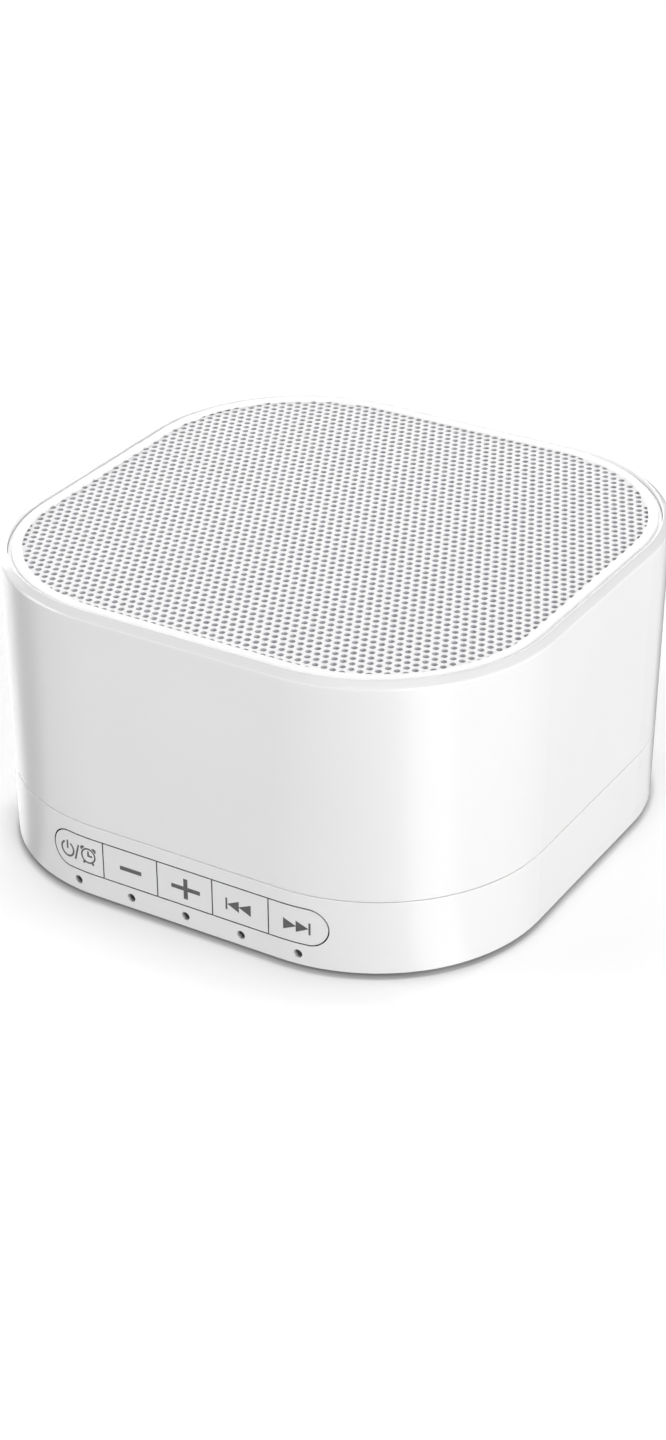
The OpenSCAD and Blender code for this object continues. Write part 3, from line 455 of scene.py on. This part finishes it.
def gasket():
    """Closed-cell foam."""
    s = Shader("gasket")
    s.tint(s.noise(scale=1500, detail=4, roughness=0.7), grey(0.012), grey(0.045))
    s.roughness(s.noise(scale=900, detail=3), low=0.85, high=0.98)
    s.bump(s.cells(scale=1400), distance=0.12 * MM)
    return s.material


def terminal():
    """Laminated paper board."""
    s = Shader("terminal")
    layers = s.noise(scale=1.0, detail=4, vector=s.scaled((400, 2400, 400)))
    s.tint(layers, (0.16, 0.07, 0.025), (0.3, 0.15, 0.06))
    s.roughness(s.noise(scale=600, detail=3), low=0.45, high=0.62)
    s.bump(s.noise(scale=2000, detail=2), distance=0.008 * MM)
    return s.material


# name: its two tones, the noise between them, roughness from and to and the noise between them, and the
# texture's noise and depth in mm. A noise is a scale, a detail and, where it isn't 0.5, a roughness.
TEXTURED = {
    "sheet_metal": (grey(0.865), grey(0.885), (60, 3), (0.5, 0.62), (600, 3), (1500, 2), 0.006),
    "light": ((0.82, 0.78, 0.6), (0.9, 0.87, 0.72), (900, 2), (0.12, 0.25), (500, 2), (1200, 2), 0.003),
    "guide": (grey(0.09), grey(0.13), (300, 2), (0.2, 0.32), (400, 2), (900, 2), 0.003),
    "surround": (grey(0.012), grey(0.022), (200, 4), (0.42, 0.6), (300, 4), (2500, 3), 0.006),
    "ferrite": (grey(0.02), grey(0.045), (700, 4, 0.7), (0.5, 0.75), (350, 4), (1800, 4, 0.7), 0.02),
    "wire": ((0.42, 0.018, 0.014), (0.5, 0.03, 0.024), (500, 2), (0.35, 0.5), (600, 3), (1600, 2), 0.006),
    "chip": (grey(0.016), grey(0.032), (1500, 3, 0.7), (0.5, 0.66), (700, 3), (3500, 3), 0.01),
    "foot": (grey(0.085), grey(0.12), (250, 4), (0.6, 0.8), (600, 4), (2200, 3), 0.012),
    "ink": (grey(0.072), grey(0.095), (900, 3), (0.45, 0.6), (700, 3), (3200, 2), 0.002),
}
CAPACITOR = ((0.012, 0.018, 0.045), (0.022, 0.03, 0.07), (160, 3), (0.28, 0.42), (500, 3), (900, 2), 0.01)


def capacitor():
    """Printed sleeve with a thin clear coat."""
    s = textured("capacitor", *CAPACITOR)
    s.set(Coat_Weight=0.3)
    return s.material


MATERIALS = {
    "housing_plastic": housing_plastic(),
    "frame_plastic": frame_plastic(),
    "key_plastic": key_plastic(),
    "cloth": cloth(),
    "board": board(),
    "gasket": gasket(),
    "copper": copper(),
    "spider": spider(),
    "terminal": terminal(),
    "capacitor": capacitor(),
    "switch_plastic": simple_plastic("switch_plastic", 0.012),
    "header": simple_plastic("header", 0.01),
    "plug": simple_plastic("plug", 0.6, rough=(0.35, 0.5), warm=0.02),
    "jack": simple_plastic("jack", 0.012, rough=(0.35, 0.5)),
    "tongue": simple_plastic("tongue", 0.01, rough=(0.4, 0.55)),
    "pins": metal("pins", (0.8, 0.55, 0.2), (0.9, 0.66, 0.3), rough=(0.2, 0.34)),
    "steel": metal("steel", grey(0.5), grey(0.6), rough=(0.28, 0.45)),
    "inlet": metal("inlet", grey(0.58), grey(0.68), rough=(0.2, 0.36)),
    "screw": metal("screw", grey(0.48), grey(0.6), rough=(0.24, 0.4), scale=(500, 500, 500)),
    "paper": paper("paper", grey(0.012), grey(0.035)),
    "cap": paper("cap", grey(0.01), grey(0.03)),
    "former": paper("former", (0.24, 0.13, 0.05), (0.4, 0.24, 0.1)),
}
for name, recipe in TEXTURED.items():
    MATERIALS[name] = textured(name, *recipe).material
HOLE_WALL_PAINTED_SHADE = hole_wall_painted_shade()


def dress(mesh, material):
    """Give a whole mesh one material."""
    if len(mesh.materials) == 0:
        mesh.materials.append(material)
    for index in range(len(mesh.materials)):
        mesh.materials[index] = material


for part in frame["record"]["subparts"]:
    dress(frame["nodes"][part["node"]].data, MATERIALS[part["material_slot"]])
dress(frame["nodes"]["lower_housing"].data, lower_plastic())

# ---- Meshes ----

SMOOTH_ANGLE = math.radians(35)


def add_object(name, vertices, faces, material, body=None):
    """A mesh piece, riding on a body where one is given."""
    mesh = bpy.data.meshes.new(name)
    mesh.from_pydata(vertices, [], faces)
    mesh.validate()
    mesh.polygons.foreach_set("use_smooth", [True] * len(mesh.polygons))
    mesh.set_sharp_from_angle(angle=SMOOTH_ANGLE)
    mesh.materials.append(material)
    mesh.update()
    piece = bpy.data.objects.new(name, mesh)
    bpy.context.scene.collection.objects.link(piece)
    if body:
        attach(piece, body)
    return piece


def turned(a, b, c):
    """Twice the area of a flat triangle, positive where its corners run counter-clockwise."""
    return (b[0] - a[0]) * (c[1] - a[1]) - (b[1] - a[1]) * (c[0] - a[0])


# ---- Perforated sheet, with every hole of the real one ----

SHEET_LOW, SHEET_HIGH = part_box("perforated_grille")
PITCH = 1.6 * MM
HOLE_R = 0.56 * MM
HOLE_SIDES = 10
HOLE_LIMIT = 47.0 * MM       # a hole whose centre lies further out is left out
CORNER_STEPS = 24
EVERY_TRIANGLE = 0           # what the triangulation is asked for
SAME_POINT = 1e-5            # mm between points that it takes for one


def rounded_square(half):
    """Points of a rounded square round the middle, counter-clockwise."""
    radius = half - CORE
    points = []
    for quarter in range(4):
        cx = CORE if quarter in (0, 3) else -CORE
        cy = CORE if quarter in (0, 1) else -CORE
        for k in range(CORNER_STEPS + 1):
            angle = math.radians(90 * quarter + 90 * k / CORNER_STEPS)
            points.append((cx + radius * math.cos(angle), cy + radius * math.sin(angle)))
    return points


def inside(x, y, half):
    """Whether a point lies in a rounded square."""
    over_x = max(abs(x) - CORE, 0.0)
    over_y = max(abs(y) - CORE, 0.0)
    return math.hypot(over_x, over_y) <= half - CORE


def hole_centres():
    """Centres of the staggered holes, row by row."""
    rows = int(HOLE_LIMIT / PITCH) + 1
    for j in range(-rows, rows + 1):
        for i in range(-2 * rows, 2 * rows + 1):
            x, y = i * PITCH / 2, j * PITCH
            if (i + j) % 2 == 0 and inside(x, y, HOLE_LIMIT):
                yield x, y


def between(flat, loops):
    """Triangles between a convex outer loop, which comes first, and the convex holes in it."""
    edges = [(loop[k - 1], loop[k]) for loop in loops for k in range(len(loop))]
    owner = [number for number, loop in enumerate(loops) for _ in loop]
    points = [Vector(point) / MM for point in flat]
    made = delaunay_2d_cdt(points, edges, [], EVERY_TRIANGLE, SAME_POINT)
    triangles, origins = made[2], made[3]
    faces = []
    for triangle in triangles:
        a, b, c = (origins[corner][0] for corner in triangle)
        in_a_hole = owner[a] == owner[b] == owner[c] > 0
        if not in_a_hole:
            faces.append((a, b, c) if turned(flat[a], flat[b], flat[c]) > 0 else (a, c, b))
    return faces


def build_grille():
    flat = rounded_square(SHEET_HIGH.x)
    loops = [list(range(len(flat)))]
    for x, y in hole_centres():
        loops.append(list(range(len(flat), len(flat) + HOLE_SIDES)))
        for k in range(HOLE_SIDES):
            angle = 2 * math.pi * (k + 0.5) / HOLE_SIDES
            flat.append((x + HOLE_R * math.cos(angle), y + HOLE_R * math.sin(angle)))
    faces = between(flat, loops)
    count = len(flat)
    vertices = [(x, y, SHEET_HIGH.z) for x, y in flat] + [(x, y, SHEET_LOW.z) for x, y in flat]
    under = [(c + count, b + count, a + count) for a, b, c in faces]
    hole_walls = [
        (loop[k - 1], loop[k], loop[k] + count, loop[k - 1] + count)
        for loop in loops[1:]
        for k in range(len(loop))
    ]
    rim = loops[0]
    rim_walls = [(rim[k - 1], rim[k - 1] + count, rim[k] + count, rim[k]) for k in range(len(rim))]
    faces += under + hole_walls + rim_walls
    piece = add_object("perforated_sheet", vertices, faces, MATERIALS["sheet_metal"], "housing")
    # the hole walls, which follow the top and under faces, take the painted shade
    piece.data.materials.append(HOLE_WALL_PAINTED_SHADE)
    top_and_under = 2 * len(under)
    for polygon in piece.data.polygons[top_and_under:top_and_under + len(hole_walls)]:
        polygon.material_index = 1
    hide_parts("perforated_grille")


build_grille()

# ---- Speaker surround: a rubber roll in sectors ----

SURROUND_RIM = 2.2 * MM      # flat rim glued to the basket
SURROUND_T = 0.4 * MM
SURROUND_LAP = 1.2 * MM      # inner lip glued to the cone
SECTORS = 16
SECTOR_STEPS = 6
ROLL_STEPS = 12


def roll_profile(low, high):
    """Closed outline of the surround: distance from the axis and height over its base."""
    foot = high[0] - SURROUND_RIM
    roll = high[2] - low[2]
    middle = foot - roll
    meet = math.asin(SURROUND_T / roll)
    sweep = math.pi - 2 * meet
    over = [meet + sweep * k / ROLL_STEPS for k in range(ROLL_STEPS + 1)]
    under = [math.pi * (1 - k / ROLL_STEPS) for k in range(ROLL_STEPS + 1)]
    inner = roll - SURROUND_T
    edge = middle - roll
    lip = edge - SURROUND_LAP
    points = [(high[0], 0), (high[0], SURROUND_T)]
    points += [(middle + roll * math.cos(angle), roll * math.sin(angle)) for angle in over]
    points += [(lip, SURROUND_T), (lip, 0)]
    points += [(middle + inner * math.cos(angle), inner * math.sin(angle)) for angle in under]
    return points, foot, edge


def build_surround():
    low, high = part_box("speaker_surround")
    profile, foot, edge = roll_profile(low, high)
    count = len(profile)
    last = count * SECTOR_STEPS
    half = math.pi / SECTORS
    for sector in range(SECTORS):
        heading = 2 * half * sector
        vertices = []
        for step in range(SECTOR_STEPS + 1):
            angle = heading + half * (2 * step / SECTOR_STEPS - 1)
            vertices += [(r * math.cos(angle), r * math.sin(angle), low[2] + z) for r, z in profile]
        faces = [list(range(count)), list(range(last + count - 1, last - 1, -1))]
        for step in range(SECTOR_STEPS):
            first, second = step * count, (step + 1) * count
            for k in range(count):
                after = (k + 1) % count
                faces.append((first + k, second + k, second + after, first + after))
        piece = add_object("surround_%d" % (sector + 1), vertices, faces, MATERIALS["surround"])
        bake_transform(piece)
        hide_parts("speaker_surround")


build_surround()

# ---- Printed symbols on the keys: outlines in millimetres, x along the front, z over the lower edge ----

PRINT_OUT = 0.012 * MM
PRINT_IN = 0.05 * MM
CUT_STEP = 0.3               # upright cuts this far apart let a print follow the curved front
ON_CUT = 1e-5                # a point this close to a cut lies on it
NO_AREA = 1e-9               # a triangle smaller than this is left out
ARC_STEP = 9                 # degrees
SHARPEST = 0.5               # limits how far a line's corner reaches out


def arc(cx, cz, radius, start, end):
    """Points of an arc, with its angles in degrees."""
    start, end = math.radians(start), math.radians(end)
    count = max(2, int(abs(end - start) / math.radians(ARC_STEP)))
    angles = [start + (end - start) * k / count for k in range(count + 1)]
    return [(cx + radius * math.cos(angle), cz + radius * math.sin(angle)) for angle in angles]


def stroke(points, width, closed=False):
    """Outline loops of a line with a width: one loop, or two for a closed line."""
    left, right = [], []
    count = len(points)
    for k, (x, z) in enumerate(points):
        before = points[k - 1] if k or closed else points[k]
        after = points[(k + 1) % count] if k < count - 1 or closed else points[k]
        dx, dz = after[0] - before[0], after[1] - before[1]
        length = math.hypot(dx, dz)
        # a corner's offset grows with its sharpness, so that the line keeps its width
        step_x, step_z = after[0] - x, after[1] - z
        step = math.hypot(step_x, step_z)
        square = abs(dx * step_x + dz * step_z) / (length * step) if step else 1.0
        reach = width / 2 / max(square, SHARPEST)
        nx, nz = -dz / length * reach, dx / length * reach
        left.append((x + nx, z + nz))
        right.append((x - nx, z - nz))
    if closed:
        return [left, right]
    return [right + list(reversed(left))]


def bar(cx, cz, wide, tall):
    """A rectangle round its middle, counter-clockwise."""
    corners = ((-1, -1), (1, -1), (1, 1), (-1, 1))
    return [(cx + side * wide / 2, cz + up * tall / 2) for side, up in corners]


def triangle(tip_x, base_x, cz, half):
    """A triangle that points sideways, counter-clockwise."""
    half = math.copysign(half, base_x - tip_x)
    return [(tip_x, cz), (base_x, cz - half), (base_x, cz + half)]


def flat_print(shapes):
    """Flat faces of a print, cut into upright strips. A shape is an outline, or an outline and its hole."""
    flat = bmesh.new()
    for loops in shapes:
        points = [point for loop in loops for point in loop]
        corners = [flat.verts.new((x, 0, z)) for x, z in points]
        for ids in tessellate_polygon([[Vector((x, z, 0)) for x, z in loop] for loop in loops]):
            area = turned(*(points[k] for k in ids))
            if abs(area) > NO_AREA:
                # seen from -Y, x runs right and z up, so counter-clockwise faces out
                face = [corners[k] for k in ids]
                flat.faces.new(face if area > 0 else face[::-1])
    low = min(vertex.co.x for vertex in flat.verts)
    high = max(vertex.co.x for vertex in flat.verts)
    for k in range(1, int((high - low) / CUT_STEP) + 1):
        everything = flat.verts[:] + flat.edges[:] + flat.faces[:]
        at = (low + k * CUT_STEP, 0, 0)
        bmesh.ops.bisect_plane(flat, geom=everything, dist=ON_CUT, plane_co=at, plane_no=(1, 0, 0))
    flat.verts.index_update()
    return flat


def print_shape(name, body, shapes):
    """A thin ink print that follows its key's surface."""
    flat = flat_print(shapes)
    count = len(flat.verts)
    vertices = []
    for offset in (PRINT_OUT, -PRINT_IN):
        for vertex in flat.verts:
            x, z = vertex.co.x * MM, LOWER_EDGE + vertex.co.z * MM
            at = Vector((x, front_at(x, z), z)) + front_normal(x, z) * offset
            vertices.append(at[:])
    faces = []
    for face in flat.faces:
        ids = [vertex.index for vertex in face.verts]
        faces.append(ids)
        faces.append([v + count for v in reversed(ids)])
        for loop in face.loops:
            if loop.edge.is_boundary:
                a, b = loop.vert.index, loop.link_loop_next.vert.index
                faces.append((a, a + count, b + count, b))
    flat.free()
    piece = add_object(name, vertices, faces, MATERIALS["ink"], body)


LINE = 0.36                  # width of a printed line
SLASH_LINE = LINE * 0.95
CLOCK_LINE = LINE * 0.85
CLOCK_FOOT_LINE = LINE * 1.2
DIAL_R = 1.38                # radius of the power ring and of the clock
POWER_GAP = 28               # degrees on each side of the power ring's opening
STEM_START = 0.05
STEM_OUT = 0.35              # how far the stem passes the ring
HAND_UP = 0.66               # the clock's hands, as shares of its radius
HAND_SIDE = 0.6
BELL_OFF = 0.3               # from the clock's ring to a bell's flat side
BELL_AT = 42                 # degrees from straight up
BELL_HALF = 17               # degrees of the clock's ring under half a bell
BELL_BACK = 84               # degrees that half a bell's back turns by
FOOT_AT = 33                 # degrees from straight down
FOOT_START = 0.01
FOOT_END = 0.55
SKIP_HALF = 1.1              # half the height of a skip symbol's triangles
SKIP_BAR = 2.46              # distances from the middle of a skip symbol
SKIP_BAR_MORE = 0.1
SKIP_FAR = 2.3
SKIP_BASE = 0.02
SKIP_TIP = 0.12


def power_symbol(cx, cz):
    ring = stroke(arc(cx, cz, DIAL_R, 90 + POWER_GAP, 450 - POWER_GAP), LINE)
    stem = stroke([(cx, cz + STEM_START), (cx, cz + DIAL_R + STEM_OUT)], LINE)
    return [ring, stem]


def bell(cx, cz, middle):
    """A cap over the clock's shoulder: a flat side towards the clock and a round back."""
    radius = DIAL_R + BELL_OFF
    low = arc(cx, cz, radius, middle - BELL_HALF, middle + BELL_HALF)
    at = math.radians(middle)
    reach = radius * math.tan(math.radians(BELL_HALF))
    hub = (cx + radius * math.cos(at), cz + radius * math.sin(at))
    return low + arc(*hub, reach, middle + BELL_BACK, middle - BELL_BACK)


def clock_symbol(cx, cz):
    shapes = [stroke(arc(cx, cz, DIAL_R, 0, 360 - ARC_STEP), CLOCK_LINE, closed=True)]
    shapes.append(stroke([(cx, cz + DIAL_R * HAND_UP), (cx, cz), (cx + DIAL_R * HAND_SIDE, cz)], LINE))
    for side in (-1, 1):
        shapes.append([bell(cx, cz, 90 - side * BELL_AT)])
        angle = math.radians(270 + side * FOOT_AT)
        ends = (DIAL_R + CLOCK_LINE / 2 + FOOT_START, DIAL_R + FOOT_END)
        foot = [(cx + math.cos(angle) * end, cz + math.sin(angle) * end) for end in ends]
        shapes.append(stroke(foot, CLOCK_FOOT_LINE))
    return shapes


def plus_outline(cx, cz, wide, tall, level, upright):
    """A plus as one outline, with the thickness of its level and of its upright arms."""
    x_out, x_in = wide / 2, upright / 2
    z_out, z_in = tall / 2, level / 2
    corners = [
        (-x_out, -z_in), (-x_in, -z_in), (-x_in, -z_out), (x_in, -z_out), (x_in, -z_in), (x_out, -z_in),
        (x_out, z_in), (x_in, z_in), (x_in, z_out), (-x_in, z_out), (-x_in, z_in), (-x_out, z_in),
    ]
    return [(cx + x, cz + z) for x, z in corners]


def skip_symbol(cx, cz, direction):
    """A bar and two triangles that point at it."""
    return [
        [bar(cx + direction * SKIP_BAR, cz, LINE, 2 * SKIP_HALF + SKIP_BAR_MORE)],
        [triangle(cx + direction * SKIP_FAR, cx + direction * SKIP_BASE, cz, SKIP_HALF)],
        [triangle(cx + direction * SKIP_TIP, cx - direction * SKIP_FAR, cz, SKIP_HALF)],
    ]


# where each symbol lies, in the prints' millimetres
KEY_MID = 7.68
POWER_AT = (-24.14, 7.62)
SLASH_ENDS = [(-22.42, 6.2), (-21.58, 9.3)]
CLOCK_AT = (-19.55, 7.8)
MINUS_AT = (-10.85, KEY_MID)
MINUS_SIZE = (4.35, 0.8)
PLUS_AT = (0.22, KEY_MID)
PLUS_SIZE = (5.7, 4.0)
PLUS_ARMS = (0.8, 0.82)      # thickness of the level and the upright arms
PREVIOUS_AT = (10.75, 7.6)
NEXT_AT = (21.6, 7.55)

print_shape("print_power", "key_power", power_symbol(*POWER_AT) + [stroke(SLASH_ENDS, SLASH_LINE)])
print_shape("print_alarm", "key_power", clock_symbol(*CLOCK_AT))
print_shape("print_minus", "key_minus", [[bar(*MINUS_AT, *MINUS_SIZE)]])
print_shape("print_plus", "key_plus", [[plus_outline(*PLUS_AT, *PLUS_SIZE, *PLUS_ARMS)]])
print_shape("print_previous", "key_previous", skip_symbol(*PREVIOUS_AT, -1))
print_shape("print_next", "key_next", skip_symbol(*NEXT_AT, 1))

# ---- Floor, a plain pale one that keeps the object's shadow, with a painted shadow and painted reflections round the object ----

FLOOR_HALF = 3.0
FLOOR_ROUGH = 0.9
FLOOR_WHITE = 0.86           # white of the floor as the camera and the gloss see it
FLOOR_BOUNCE = 0.3           # level of the floor for the light that it throws back at the object
GLOW_PAST_PAINTED_SHADOW = 0.17            # added white outside the object's shadow; left out round the foot, it paints shadow there
FAR_GLOW = 0.1               # added white far from the object
FAR_REACH = (0.065, 0.12)    # distances between which that begins
PAINTED_SHADOW_WIDTH = (0.022, 0.007)     # greatest and least width of the painted shadow
PAINTED_SHADOW_SIDES = (-0.03, 0.05)      # x where it has these widths
PAINTED_SHADOW_DEPTHS = (-0.052, -0.030)  # y where it begins and ends to narrow along the sides
SIDE_SHARE = 0.15            # share of the width that is left there
PAINTED_FOOT_SHADOW = 0.24             # painted shadow: how much darker the floor is at the foot of the front
NEAR_SHARE = 0.06            # share of the painted shadow's width where it is darker
NEAR_DEPTHS = (-0.035, -0.005)    # y between which the darker foot line of painted shadow ends
BACKDROP_REACH = (0.22, 0.6)      # distances between which the floor turns into the plain background
# Painted reflections: two pale and two dark wedges lie on the floor, and only the object's gloss sees them,
# so they show only as painted highlights and dark reflections on it: the wedge's apex, its azimuth, the
# angles off it where it begins and ends to fade, and its level
PAINTED_BRIGHT_REFLECTIONS = [((-0.030, -0.045), 146, 8, 24, 0.4), ((0.030, -0.030), 329, 8, 20, 1.9)]
PAINTED_DARK_REFLECTIONS = [((-0.030, -0.045), 184, 4, 20, 1.0), ((0.048, 0.022), 104, 8, 18, 0.8)]
PAINTED_DARK_REFLECTION_GREY = 0.02            # grey of a painted dark reflection


def plain_rays(tree):
    """1 for the rays that show the plain background: camera, gloss and glass."""
    rays = tree.nodes.new("ShaderNodeLightPath")
    total = rays.outputs["Is Camera Ray"]
    for name in ("Is Glossy Ray", "Is Transmission Ray"):
        either = tree.nodes.new("ShaderNodeMath")
        either.operation = "MAXIMUM"
        tree.links.new(total, either.inputs[0])
        tree.links.new(rays.outputs[name], either.inputs[1])
        total = either.outputs["Value"]
    return total


def mixed_shaders(tree, factor, first, second):
    mix = tree.nodes.new("ShaderNodeMixShader")
    for socket, source in zip(mix.inputs, (factor, first, second)):
        tree.links.new(source, socket)
    return mix.outputs["Shader"]


def towards(s, apex, azimuth, near, far):
    """1 on the floor in the given direction from a point, falling to 0 between two angles off it."""
    angle = math.radians(azimuth)
    unit = s.vectors("NORMALIZE", s.vectors("SUBTRACT", s.place, (*apex, 0)))
    along = s.vectors("DOT_PRODUCT", unit, (math.cos(angle), math.sin(angle), 0))
    return s.spread(along, 0, 1, (math.cos(math.radians(far)), math.cos(math.radians(near))))


def wedges(s, rows):
    """Two wedges on the floor, each at its own level."""
    first, second = (s.math("MULTIPLY", towards(s, *wedge), level) for *wedge, level in rows)
    return s.math("MAXIMUM", first, second)


def painted_shadow_step(s):
    """Distance from the foot of the body, as a share of the painted shadow's width there."""
    width = s.spread(s.along("X"), *PAINTED_SHADOW_WIDTH, PAINTED_SHADOW_SIDES)
    width = s.math("MULTIPLY", width, s.spread(s.along("Y"), 1, SIDE_SHARE, PAINTED_SHADOW_DEPTHS))
    return s.math("DIVIDE", s.math("SUBTRACT", s.past_core(), FOOT_R), width)


def floor_material():
    s = Shader("floor")
    s.set(Roughness=FLOOR_ROUGH, Specular_IOR_Level=0.0, Emission_Color=(1, 1, 1, 1))
    plain = plain_rays(s.tree)
    gloss = s.node("ShaderNodeLightPath").outputs["Is Glossy Ray"]
    reach = s.vectors("LENGTH", s.place)
    step = painted_shadow_step(s)
    # its colour: darker at the foot of the front as painted shadow, and darker for all the light that it
    # throws back
    front = s.spread(s.along("Y"), 1, 0, NEAR_DEPTHS)
    dark = s.math("MULTIPLY", s.spread(step, PAINTED_FOOT_SHADOW, 0, (0, NEAR_SHARE)), front)
    bright = s.math("SUBTRACT", s.math("SUBTRACT", FLOOR_WHITE, dark), FLOOR_BOUNCE)
    s.colour(s.math("ADD", s.math("MULTIPLY", plain, bright), FLOOR_BOUNCE), (0, 0, 0), (1, 1, 1))
    # its glow, left out round the foot as painted shadow, and the painted bright reflections that only gloss
    # sees
    glow = s.spread(step, 0, GLOW_PAST_PAINTED_SHADOW, (0, 1))
    glow = s.math("ADD", glow, s.spread(reach, 0, FAR_GLOW, FAR_REACH))
    bright_reflections = s.math("MULTIPLY", wedges(s, PAINTED_BRIGHT_REFLECTIONS), gloss)
    glow = s.math("ADD", s.math("MULTIPLY", plain, glow), bright_reflections)
    s.link(glow, s.bsdf.inputs["Emission Strength"])
    # the painted dark reflections, and the plain white background far from the object
    dark_reflection = s.node("ShaderNodeBsdfDiffuse")
    dark_reflection.inputs["Color"].default_value = (*grey(PAINTED_DARK_REFLECTION_GREY), 1)
    dark_reflections = s.math("MULTIPLY", wedges(s, PAINTED_DARK_REFLECTIONS), gloss)
    ground = mixed_shaders(s.tree, dark_reflections, s.bsdf.outputs["BSDF"], dark_reflection.outputs["BSDF"])
    backdrop = s.node("ShaderNodeEmission").outputs["Emission"]
    far = s.math("MULTIPLY", plain, s.spread(reach, 0, 1, BACKDROP_REACH))
    s.link(mixed_shaders(s.tree, far, ground, backdrop), s.output.inputs["Surface"])
    return s.material


def make_floor():
    mesh = bpy.data.meshes.new("floor")
    corners = bar(0, 0, 2 * FLOOR_HALF, 2 * FLOOR_HALF)
    mesh.from_pydata([(x, y, 0) for x, y in corners], [], [(0, 1, 2, 3)])
    mesh.materials.append(floor_material())
    floor = bpy.data.objects.new("floor", mesh)
    bpy.context.scene.collection.objects.link(floor)


make_floor()

# ---- Light: soft panels round the object, in a dim white room ----

CAMERA_AZIMUTH = math.atan2(CAMERA_AT[1], CAMERA_AT[0])
TARGET = Vector((0, 0, 0.03))
WORLD_LEVEL = 0.1
SIDE = (0.3, 1.3, 0.66, 0.8)      # a side panel's height over the floor, distance, width and height
# name, azimuth from the camera's own (right is positive), height over the floor, distance, width, height
# and light level
PANELS = [
    ("panel_front_right", 30, *SIDE, 8.3),
    ("panel_side_right", 60, *SIDE, 1.6),
    ("panel_right", 90, *SIDE, 1.2),
    ("panel_back_right", 165, *SIDE, 1.25),
    ("panel_back", 180, *SIDE, 3.0),
    ("panel_back_left", -150, *SIDE, 4.5),
    ("panel_side_left", -135, *SIDE, 1.2),
    ("panel_left", -90, *SIDE, 5.8),
    ("panel_high_front", 0, 1.0, 0.9, 0.8, 0.6, 3.0),
    ("panel_top", 0, 1.4, 0.02, 1.2, 1.2, 1.0),
]


def add_panel(name, azimuth, height, distance, wide, tall, level):
    angle = CAMERA_AZIMUTH + math.radians(azimuth)
    at = Vector((distance * math.cos(angle), distance * math.sin(angle), height))
    data = bpy.data.lights.new(name, "AREA")
    data.shape = "RECTANGLE"
    data.size = wide
    data.size_y = tall
    # a panel's radiance is its power over pi times its area
    data.energy = level * math.pi * wide * tall
    panel = bpy.data.objects.new(name, data)
    panel.location = at
    panel.rotation_euler = (TARGET - at).to_track_quat("-Z", "Y").to_euler()
    panel.visible_camera = False
    bpy.context.scene.collection.objects.link(panel)


def background(tree, strength):
    shader = tree.nodes.new("ShaderNodeBackground")
    shader.inputs["Color"].default_value = (1, 1, 1, 1)
    shader.inputs["Strength"].default_value = strength
    return shader.outputs["Background"]


def make_world():
    """A dim room that shows as plain white to the camera, gloss and glass."""
    world = bpy.data.worlds.new("studio")
    world.use_nodes = True
    tree = world.node_tree
    tree.nodes.clear()
    output = tree.nodes.new("ShaderNodeOutputWorld")
    room = background(tree, WORLD_LEVEL)
    white = background(tree, 1.0)
    tree.links.new(mixed_shaders(tree, plain_rays(tree), room, white), output.inputs["Surface"])
    bpy.context.scene.world = world


for panel in PANELS:
    add_panel(*panel)
make_world()
bpy.context.scene.view_settings.view_transform = "Standard"
